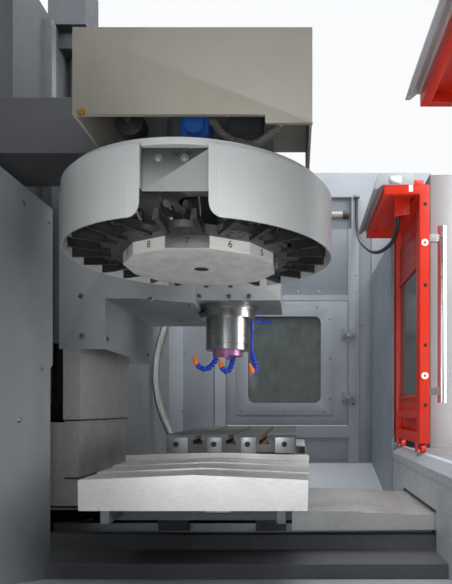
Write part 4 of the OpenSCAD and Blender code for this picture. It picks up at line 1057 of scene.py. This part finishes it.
@dataclass
class Magazine:
    """Umbrella tool drum: numbered hub, tool forks with their springs, and the drive's small parts."""

    axis_x: float = -581
    drum_radius: float = 350
    pockets: int = 12
    facing_number: int = 7

    notch_half: float = 73.5
    notch_round: float = 28
    arc_steps: int = 10
    corner_depth: float = 0.045
    recess_x: float = 320
    recess_z: tuple[float, float] = (20, 152)
    cover_weld: float = 1e-6
    cover_sharp: float = 30

    hub_reach: float = 195.2
    hub_z: tuple[float, float] = (1305, 1335)
    # Thin black disc over the hub's bore: painted shade of the dark hole.
    hub_bore: Form = ((0.018, -0.0005), (0.018, 0.0006), (0.012, 0.0007))
    numeral_size: float = 0.024
    numeral_relief: float = 0.0002
    numeral_proud: float = 0.2
    facing_proud: float = 4.4
    plate_sizes: Sequence[tuple[int, float, float, float]] = ((6, 104, 4, 1341), (9, 22, 12, 1344))
    plate_screw_drop: float = 6
    plate_screw_radius: float = 0.0032
    plate_screw_height: float = 0.002

    lid_form: Form = ((0.092, 0), (0.336, 0), (0.338, 0.002), (0.338, 0.013), (0.335, 0.016), (0.092, 0.016))
    lid_sides: int = 160
    roller_form: Form = ((0.030, 0), (0.0335, 0.002), (0.0335, 0.048), (0.030, 0.050))
    roller_y: float = 134
    roller_z: float = 1599

    claw_route: Form = ((236, 8), (252, 22), (276, 31), (303, 30), (322, 20))
    claw_z: float = 1364
    claw_radius: float = 0.0085
    claw_sides: int = 8
    claw_step: float = 0.006
    pivot_form: Form = ((0.010, 0), (0.010, 0.026), (0.006, 0.028), (0.006, 0.034))
    spring_radius: float = 0.0026
    spring_sides: int = 6
    spring_bow: float = 0.002

    def outward(self, index: int) -> tuple[Vector, Vector]:
        """Gives the directions of one pocket.

        Args:
            index: number of the pocket's place, counted from the side of the spindle.

        Returns:
            The direction outwards from the drum's axis, and the one along the rim.
        """
        angle = 2 * math.pi * index / self.pockets
        return Vector((math.cos(angle), math.sin(angle), 0)), Vector((-math.sin(angle), math.cos(angle), 0))

    def build(self) -> None:
        """Builds every group of the magazine."""
        self.numerals()
        self.plates()
        self.forks()
        self.cover()
        self.lid()
        self.roller()
        # Black disc at the hub's underside: painted shade where the bore's hole shows dark.
        bore = Mesher()
        bore.turned(self.hub_bore, spot(self.axis_x, 0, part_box("drum_hub")[0][2] / MM), DOWN, MANY_SIDES)
        bore.publish("hub_bore", BLACK, Body.DRUM)

    def cover(self) -> None:
        """Rounds the lower corners of the loading cut-out, and paints the recess plate behind it darker as
        painted shade.
        """
        copy = Mesher()
        copy.mesh.from_mesh(frame["nodes"]["drum_cover"].data)
        bmesh.ops.remove_doubles(copy.mesh, verts=copy.mesh.verts, dist=self.cover_weld)
        cover = copy.publish("drum_cover_dressed", DRUM, Body.MAGAZINE)
        front = self.axis_x - self.drum_radius
        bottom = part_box("drum_cover")[0][2] / MM
        centre = (self.notch_half + self.notch_round, bottom + self.notch_round)
        inner = self.notch_half - 1
        outline = [(inner, centre[1]), (inner, bottom - 1), (centre[0], bottom - 1)]
        for k in range(self.arc_steps + 1):
            angle = math.pi * (1.5 - 0.5 * k / self.arc_steps)
            outline.append((centre[0] + self.notch_round * math.cos(angle),
                            centre[1] + self.notch_round * math.sin(angle)))
        for side in (-1, 1):
            cutter = Mesher()
            cutter.prism([spot(front - 2, side * y, z) for y, z in outline], RIGHT * self.corner_depth)
            carve(cover, cutter)
        cover.data.shade_smooth()
        cover.data.set_sharp_from_angle(angle=math.radians(self.cover_sharp))
        # The recess plate gets the darker paint: painted shade of the cut-out's recess.
        cover.data.materials.append(RECESS_PAINTED_SHADE.material())
        low, high = self.recess_z
        recess = Patch(RECESS_PAINTED_SHADE, spot(front + 15, -self.notch_half - 3, bottom + low),
                       spot(self.axis_x - self.recess_x + 12, self.notch_half + 3, bottom + high))
        for face in cover.data.polygons:
            if recess.holds(face.center):
                face.material_index = 1
        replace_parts(cover, "drum_cover")

    def lid(self) -> None:
        """Builds the raised lid on top of the drum's cover."""
        seat = Vector((AXIS.x + self.axis_x * MM, AXIS.y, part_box("drum_cover")[1][2]))
        lid = Mesher()
        lid.turned(self.lid_form, seat, UP, self.lid_sides)
        lid.publish("drum_lid", DRUM, Body.MAGAZINE)

    def roller(self) -> None:
        """Builds the guide roller that hangs from the carriage's plate, and its stay."""
        y, z = self.roller_y, self.roller_z
        roller = Mesher()
        roller.turned(self.roller_form, spot(-790, y, z), RIGHT, MANY_SIDES)
        roller.publish("guide_roller", BLACK, Body.MAGAZINE, smooth=SOFT)
        stay = Mesher()
        stay.box(spot(-746, y - 8, z - 9), spot(-738, y + 8, z + 85))
        stay.turned([(0.008, 0), (0.008, 0.014)], spot(-800, y, z), RIGHT, FEW_SIDES)
        stay.publish("roller_stay", MOTOR_DARK, Body.MAGAZINE, SMALL_EDGE)

    def numerals(self) -> None:
        """Engraves the pocket numbers on the hub's faces."""
        middle = (self.hub_z[0] + self.hub_z[1]) / 2
        for index in range(self.pockets):
            out, rim = self.outward(index)
            number = (self.facing_number + self.pockets // 2 - index - 1) % self.pockets + 1
            data = bpy.data.curves.new(f"numeral_{number}", "FONT")
            data.body = str(number)
            data.size = self.numeral_size
            data.extrude = self.numeral_relief
            data.align_x = "CENTER"
            data.align_y = "CENTER"
            data.materials.append(INK.material())
            proud = self.facing_proud if number == self.facing_number else self.numeral_proud
            centre = spot(self.axis_x, 0, middle + 2) + out * (self.hub_reach + proud) * MM
            piece = bpy.data.objects.new(f"numeral_{number}", data)
            bpy.context.scene.collection.objects.link(piece)
            turn = Matrix((rim, UP, out)).transposed().to_4x4()
            piece.matrix_world = Matrix.Translation(centre) @ turn
            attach(piece, Body.DRUM.value)

    def plates(self) -> None:
        """Builds the two small plates screwed to the hub's faces."""
        mesher, screws = Mesher(), Mesher()
        for index, width, depth, top in self.plate_sizes:
            out, rim = self.outward(index)
            centre = spot(self.axis_x, 0, 0)
            corners = [centre + rim * along * MM + out * (self.hub_reach + deep) * MM for along, deep in (
                (-width / 2, 0.2), (-width / 2, depth), (width / 2, depth), (width / 2, 0.2))]
            rows = [[mesher.mesh.verts.new(corner + UP * (z * MM)) for corner in corners]
                    for z in (self.hub_z[0] + 1, top)]
            for k in range(4):
                mesher.mesh.faces.new((rows[0][k], rows[0][(k + 1) % 4], rows[1][(k + 1) % 4], rows[1][k]))
            for row in rows:
                mesher.mesh.faces.new(row)
            seat = centre + out * (self.hub_reach + depth) * MM + UP * ((top - self.plate_screw_drop) * MM)
            screws.pan_screw(seat, out, self.plate_screw_radius, self.plate_screw_height)
        mesher.publish("hub_plates", TAB, Body.DRUM, PLATE_EDGE)
        screws.publish("hub_plate_screws", BRIGHT_BOLT, Body.DRUM)

    def forks(self) -> None:
        """Builds a pair of claws, their pivots and their spring plates in every pocket."""
        claws, springs, pivots = Mesher(), Mesher(), Mesher()
        for index in range(self.pockets):
            out, rim = self.outward(index)
            for side in (-1, 1):
                def at(reach: float, across: float, z: float) -> Vector:
                    """Places a point by its reach from the drum's axis and across the pocket."""
                    return spot(self.axis_x, 0, z) + out * reach * MM + rim * side * across * MM

                claws.swept([at(reach, across, self.claw_z) for reach, across in self.claw_route],
                            lambda length: self.claw_radius, UP, self.claw_sides, self.claw_step)
                pivots.turned(self.pivot_form, at(250, 27, 1351), UP, FEW_SIDES)
                low, high = at(262, 40, 1352), at(292, 43, 1392)
                springs.swept([low, (low * 2 + high) / 3 + rim * side * self.spring_bow, high],
                              lambda length: self.spring_radius, rim, self.spring_sides, self.claw_step)
        claws.publish("tool_claws", BLACK, Body.DRUM, smooth=SOFT)
        pivots.publish("claw_pivots", GROUND, Body.DRUM)
        springs.publish("claw_springs", BRIGHT_BOLT, Body.DRUM)


@dataclass
class FrontDoors:
    """Small parts of the red doors: buffers, drip caps, inner panels and the safety lock's parts."""

    edge_x: float = 6
    buffer_y: float = -736.5
    buffer_z: tuple[float, float] = (1054, 1552)
    buffer_form: Form = ((0.0135, 0.0005), (0.0135, 0.0038), (0.011, 0.0046), (0.005, 0.0046), (0.005, 0.002),
                         (0, 0.002))
    cap: Form = ((-697, 1769), (-697, 1815), (-565, 1815), (-546, 1754), (-560, 1754), (-578, 1769))
    buffer_sharp: float = 40
    cap_inset: float = 0.004
    pane_z: tuple[float, float] = (980, 1494)
    pane_lap: float = 0.004
    panel_depth: float = 0.002
    lip_depth: float = 0.008
    lip_half: float = 0.006

    def build(self) -> None:
        """Builds the buffers, what each door has, and the safety lock's parts."""
        buffers = Mesher()
        for height in self.buffer_z:
            buffers.turned(self.buffer_form, spot(self.edge_x, self.buffer_y, height), LEFT, SOME_SIDES)
        buffers.publish("door_buffers", WHITE_RUBBER, Body.RIGHT_DOOR, smooth=self.buffer_sharp)
        for node, body in (("right_door", Body.RIGHT_DOOR), ("left_door", Body.LEFT_DOOR)):
            self.drip_cap(node, body)
            self.panel(node, body)
        for name, low, high, finish, bevel in (
                ("lock_strike", (-0.8, -692, 1743), (0.5, -677, 1768), WHITE_RUBBER, PAD_EDGE),
                ("roof_clip", (-1.5, -648, 1772), (6, -603, 1802), SPRING, SMALL_EDGE),
                ("roof_stop", (0, -734, 1768), (26, -697, 1787), RED, SMALL_EDGE)):
            block(name, spot(self.edge_x + low[0], *low[1:]), spot(self.edge_x + high[0], *high[1:]), finish,
                  Body.RIGHT_DOOR, bevel)

    def drip_cap(self, node: str, body: Body) -> None:
        """Builds the drip cap on one door's roof.

        Args:
            node: the door's node.
            body: the door's body.
        """
        low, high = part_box(node)
        cap = Mesher()
        cap.prism([Vector((low[0] + self.cap_inset, AXIS.y + y * MM, z * MM)) for y, z in self.cap],
                  Vector((high[0] - low[0] - self.cap_inset, 0, 0)))
        cap.publish(f"{node}_cap", CAP, body, BOX_EDGE)

    def panel(self, node: str, body: Body) -> None:
        """Builds the panels above and below one door's pane, on the inside, with the pane's lips.

        Args:
            node: the door's node.
            body: the door's body.
        """
        panel = Mesher()
        low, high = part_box(f"{node}_glass")
        start, end, face = low[0] - self.pane_lap, high[0] + self.pane_lap, high[1]
        for under, over in ((low[2], self.pane_z[0] * MM), (self.pane_z[1] * MM, high[2])):
            panel.box(Vector((start, face, under)), Vector((end, face + self.panel_depth, over)))
        for height in self.pane_z:
            panel.box(Vector((start, face, height * MM - self.lip_half)),
                      Vector((end, face + self.lip_depth, height * MM + self.lip_half)))
        panel.publish(f"{node}_panel", RED, body, SMALL_EDGE)


@dataclass
class CoverWipers:
    """Black wiper strips at the lower edges of the column's covers; their black also paints the dark shade
    line at each seam.
    """

    height: float = 0.005
    proud: float = 0.0008

    def build(self) -> None:
        """Builds a strip on the three outer faces of each moving cover."""
        for node, body in (("z_cover_upper", Body.HEAD), ("z_cover_middle", Body.COVER_Z)):
            low, high = (Vector(corner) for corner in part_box(node))
            top = low.z + self.height
            strip = Mesher()
            for start, end in ((low.x - self.proud, low.x), (high.x, high.x + self.proud)):
                strip.box(Vector((start, low.y, low.z)), Vector((end, high.y, top)))
            strip.box(Vector((low.x, low.y - self.proud, low.z)), Vector((high.x, low.y, top)))
            # Black strip: a wiper, and painted shade of the seam.
            strip.publish(f"{node}_wiper", BLACK, body)


@dataclass
class TubeCaps:
    """Caps of the lamp tube in the right wall."""

    radius: float = 0.0225
    height: float = 2094
    inset: float = 0.021
    form: Form = ((1, -0.001), (1, 0.034), (0.95, 0.038))

    def build(self) -> None:
        """Builds a dark cap on each end of the tube."""
        low, high = (Vector(corner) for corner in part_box("work_light"))
        caps = Mesher()
        for y, way in ((low.y, BACK), (high.y, FRONT)):
            caps.turned([(self.radius * wide, far) for wide, far in self.form],
                        Vector((low.x + self.inset, y, self.height * MM)), way, SOME_SIDES)
        caps.publish("lamp_caps", MOTOR_DARK, Body.FRAME)


@dataclass
class Table:
    """Ground pads and screws on the table's end."""

    face_x: float = -360
    proud: float = 0.7
    pads: Form = ((80, 138), (-25, 20), (-131, -84), (-250, -190))
    pad_z: tuple[float, float] = (793, 841)
    screw_y: Sequence[float] = (115.7, -0.8, -104.6, -218.9)
    screw_z: float = 820
    screw_radius: float = 0.0085
    screw_height: float = 0.006

    def build(self) -> None:
        """Builds the ground pads and their screws."""
        front = self.face_x - self.proud
        pads = Mesher()
        for low, high in self.pads:
            pads.box(spot(front, low, self.pad_z[0]), spot(self.face_x + 0.5, high, self.pad_z[1]))
        pads.publish("table_end_pads", GROUND, Body.TABLE, PAD_EDGE)
        screws = Mesher()
        for y in self.screw_y:
            screws.socket_screw(spot(front, y, self.screw_z), LEFT, self.screw_radius, self.screw_height)
        screws.publish("table_end_screws", BOLT, Body.TABLE)


# Places of the small parts, as their distances from the left and top edges of the camera's picture.
SCREWS = [
    Screws("guard_screws", BRIGHT_BOLT, 0.0065, 0.004, Head.PAN,
           [(24, 203.3), (49, 221.7), (41.7, 368.3), (19, 420)]),
    Screws("cover_screws", BRIGHT_BOLT, 0.0068, 0.0042, Head.PAN,
           [(81, 296), (82, 336), (150.7, 299.3), (181, 321.7), (191, 305.7)]),
    Screws("cover_dark_screws", BOLT, 0.0066, 0.004, Head.PAN, [(107.3, 339.3), (147.7, 354.7)]),
    Screws("fascia_screws", BRIGHT_BOLT, 0.0088, 0.006, Head.SOCKET, [(199.3, 296), (229, 296), (249, 296)]),
    Screws("wall_screws", BRIGHT_BOLT, 0.006, 0.0035, Head.PAN,
           [(316.7, 306.7), (330, 319), (330, 358.3), (330, 398.3), (284, 410.7), (240.7, 410.7), (324, 412),
            (184.3, 352.3), (182.7, 411), (356, 275), (356, 279.3), (355.7, 292.3), (361.7, 325.7),
            (353.3, 404), (388.3, 292.7), (388.3, 410), (386.7, 470.7), (319.3, 292), (297.5, 292)]),
    Screws("drum_screws", BRIGHT_BOLT, 0.0062, 0.004, Head.PAN, [(158, 158), (184.5, 158)]),
    Screws("drum_black_screws", BLACK, 0.0052, 0.005, Head.SOCKET, [(176.7, 151.6), (188.6, 151.6)]),
    Screws("arm_screws", BRASS, 0.007, 0.004, Head.PAN, [(81, 111.8)]),
    Screws("door_screws", BOLT, 0.0055, 0.003, Head.PAN, [(425.4, down) for down in (204, 285, 345, 405)]),
]


@dataclass
class Plates:
    """Small plates seated on the machine where the camera's picture shows them."""

    name: str
    finish: Finish
    size: Vector
    places: Sequence[tuple[float, float]]

    def build(self, sight: Sight) -> None:
        """Adds the plates, as one piece for each body that carries some.

        Args:
            sight: finds the seats.
        """
        groups: dict[str, Mesher] = {}
        for across, down in self.places:
            seat = sight.seat(across, down)
            groups.setdefault(seat.body, Mesher()).box(seat.point - self.size / 2, seat.point + self.size / 2)
        for body, mesher in groups.items():
            mesher.publish(f"{self.name}_{body}", self.finish, Body(body), PLATE_EDGE)


LATCHES = Plates("door_latches", LATCH, Vector((0.006, 0.050, 0.017)), [(348.5, 334.5), (348.5, 397)])
HIDDEN_FROM_SIGHT = ("braided_hose", "door_conduit", "magazine_conduit", "coolant_hoses", "left_wall")


@dataclass(frozen=True)
class Light:
    """One soft round light: its place, the point that it faces, its width in metres and power in watts."""

    name: str
    place: tuple[float, float, float]
    target: tuple[float, float, float]
    width: float
    power: float
    mirrored: bool = True

    def build(self) -> None:
        """Adds the light, which shiny surfaces show only where it is mirrored."""
        data = bpy.data.lights.new(self.name, "AREA")
        data.shape = "DISK"
        data.size = self.width
        data.energy = self.power
        lamp = bpy.data.objects.new(self.name, data)
        lamp.visible_glossy = self.mirrored
        lamp.location = self.place
        lamp.rotation_euler = (Vector(self.place) - Vector(self.target)).to_track_quat("Z", "Y").to_euler()
        bpy.context.scene.collection.objects.link(lamp)


@dataclass
class Studio:
    """Plain studio: floor, pale surroundings, soft lights and the camera."""

    lens: float = 34.52
    shift_x: float = -0.12
    shift_y: float = 0.202
    reach: float = 60
    floor_size: float = 30.0
    floor_tones: Sequence[tuple[float, float, float]] = (srgb(240, 240, 239), srgb(244, 244, 243))
    soft_color: tuple[float, float, float, float] = (0.92, 0.95, 1.0, 1)
    soft_strength: float = 0.55
    pale_color: tuple[float, float, float, float] = (0.96, 0.97, 0.98, 1)
    lights: Sequence[Light] = (
        Light("key", (-3.2, -2.6, 3.6), (0.2, -0.2, 1.2), 3.0, 210),
        Light("fill", (-4.4, 1.4, 2.2), (0, 0, 1.2), 3.0, 90),
        Light("top", (0.2, -0.4, 4.6), (0, -0.1, 0), 3.4, 190),
        Light("front", (1.2, -5.0, 2.8), (0, 0, 1.2), 3.0, 120),
        Light("low", (-2.9, -0.55, 0.45), (0, -0.1, 1.3), 0.8, 50, mirrored=False),
        Light("gate", (-0.6, -3.4, 1.2), (-0.2, 0, 1.1), 1.4, 45),
    )

    def build(self) -> None:
        """Builds the camera first, then the floor, the surroundings and the lights."""
        lens = bpy.data.cameras.new("camera")
        lens.lens = self.lens
        lens.shift_x = self.shift_x
        lens.shift_y = self.shift_y
        lens.clip_end = self.reach
        camera = bpy.data.objects.new("camera", lens)
        camera.location = Sight.eye
        camera.rotation_euler = (math.radians(90), 0, math.radians(-90))
        bpy.context.scene.collection.objects.link(camera)
        bpy.context.scene.camera = camera
        self.floor()
        self.surroundings()
        for light in self.lights:
            light.build()
        bpy.context.scene.view_settings.view_transform = "Standard"

    def floor(self) -> None:
        """Builds the pale floor."""
        sheet = Mesher()
        bmesh.ops.create_grid(sheet.mesh, x_segments=2, y_segments=2, size=self.floor_size / 2)
        data = bpy.data.meshes.new("floor")
        sheet.mesh.to_mesh(data)
        sheet.mesh.free()
        floor = bpy.data.objects.new("floor", data)
        bpy.context.scene.collection.objects.link(floor)
        graph = Graph("floor")
        mottle = graph.spread(graph.noise(1.5, 4), 0, 1)
        graph.feed("Base Color", graph.blend(mottle, *self.floor_tones))
        graph.shader.inputs["Roughness"].default_value = 0.7
        data.materials.append(graph.material)

    def surroundings(self) -> None:
        """Lights the scene evenly and shows a pale background to the camera."""
        world = bpy.data.worlds.new("surroundings")
        world.use_nodes = True
        nodes, links = world.node_tree.nodes, world.node_tree.links
        soft = nodes["Background"]
        soft.inputs["Color"].default_value = self.soft_color
        soft.inputs["Strength"].default_value = self.soft_strength
        pale = nodes.new("ShaderNodeBackground")
        pale.inputs["Color"].default_value = self.pale_color
        pale.inputs["Strength"].default_value = 1.0
        path = nodes.new("ShaderNodeLightPath")
        mix = nodes.new("ShaderNodeMixShader")
        links.new(path.outputs["Is Camera Ray"], mix.inputs["Fac"])
        links.new(soft.outputs["Background"], mix.inputs[1])
        links.new(pale.outputs["Background"], mix.inputs[2])
        links.new(mix.outputs["Shader"], nodes["World Output"].inputs["Surface"])
        bpy.context.scene.world = world


# Boxes whose faces have another finish than the rest of their node. BEYOND lies past every face.
BEYOND = 3000
FAR_CORNER = spot(BEYOND, BEYOND, BEYOND)
ARM_BEAM = Patch(BEAM, spot(-BEYOND, 225, 0), FAR_CORNER)
SLOT_RUST = [Patch(RUST, spot(-350, y - 17, 800), spot(550, y + 17, 849)) for y in (-156, -54, 48)]
# The head cover's facet that faces the light gets the lighter paint: painted light.
HEAD_FACET_LIT_PATCH = Patch(HEAD_FACET_PAINTED_LIGHT, spot(-300, 90, 1000), spot(-221, 255, 1290))
GEARBOX = Patch(MOTOR_DARK, spot(-BEYOND, -180, 1560), spot(BEYOND, -88, 1683))

DRESSED = [
    Dressed("base", IRON, CAST_EDGE), Dressed("leveling_feet", FOOT), Dressed("column", DARK_IRON, CAST_EDGE),
    Dressed("guide_rails", GROUND), Dressed("axis_drives", DRIVE), Dressed("left_wall", WALL, SHEET_EDGE),
    Dressed("right_wall", WALL, SHEET_EDGE), Dressed("rear_guards", GUARD), Dressed("chip_pans", PAN),
    Dressed("front_guards", GUARD_BLUE), Dressed("front_housings", OUTER, HOUSING_EDGE),
    # The front skirt gets the darker guard paint: painted shade.
    Dressed("front_skirt", GUARD), Dressed("door_tracks", PAN), Dressed("work_light", TUBE),
    Dressed("electrical_cabinet", OUTER, BOX_EDGE), Dressed("magazine_arm", ARM, SMALL_EDGE, [ARM_BEAM]),
    Dressed("operator_panel", PANEL, BOX_EDGE),
    *(Dressed(f"z_cover_{name}", COVER) for name in ("lower", "middle", "upper")),
    # The flat sliding covers take the lighter copy of the cover steel: painted light.
    *(Dressed(f"y_cover_{name}", SLIDE_COVER_LIT) for name in ("fixed", "middle", "saddle")),
    *(Dressed(f"x_cover_{name}", SLIDE_COVER_LIT)
      for name in ("ends", "tops", "left_a", "left_b", "right_a", "right_b")),
    Dressed("saddle", IRON), Dressed("x_drive", GROUND), Dressed("table", TABLE_IRON, TABLE_EDGE, SLOT_RUST),
    # The head cover's lit facet is painted lighter than the rest: painted light.
    Dressed("head_casting", IRON), Dressed("head_cover", HEAD, SHEET_EDGE, [HEAD_FACET_LIT_PATCH]),
    Dressed("spindle_housing", CHROME), Dressed("spindle", NOSE_RING),
    Dressed("spindle_motor", MOTOR_DARK, HOUSING_EDGE), Dressed("magazine_carriage", CARRIAGE),
    Dressed("magazine_motor", MOTOR_BLUE, BOX_EDGE, [GEARBOX]), Dressed("drum_plate", PLATE),
    Dressed("drum_hub", HUB), Dressed("tool_grippers", BLACK, DOOR_EDGE),
    *(Dressed(f"{side}_door{part}", *look) for side in ("right", "left")
      for part, look in (("", (RED, DOOR_EDGE)), ("_glass", (TINT,)), ("_handle", (HANDLE,)))),
    *(Dressed(f"{side}_service_{part}", *look) for side in ("right", "left")
      for part, look in (("door", (WALL, DOOR_EDGE)), ("glass", (TINT,)))),
    Dressed("cabinet_door", OUTER, BOX_EDGE), Dressed("stop_button", BUTTON, SMALL_EDGE),
    Dressed("feed_dial", KNOB),
]


def main() -> None:
    """Builds the studio and every sub-assembly in order."""
    Studio().build()
    for piece in (*CORDS, *DRESSED, CoolantHoses(), Magazine(), FrontDoors(), CoverWipers(), TubeCaps(),
                  Table()):
        piece.build()
    sight = Sight(HIDDEN_FROM_SIGHT)
    for group in (*SCREWS, LATCHES):
        group.build(sight)


if __name__ == "__main__":
    main()
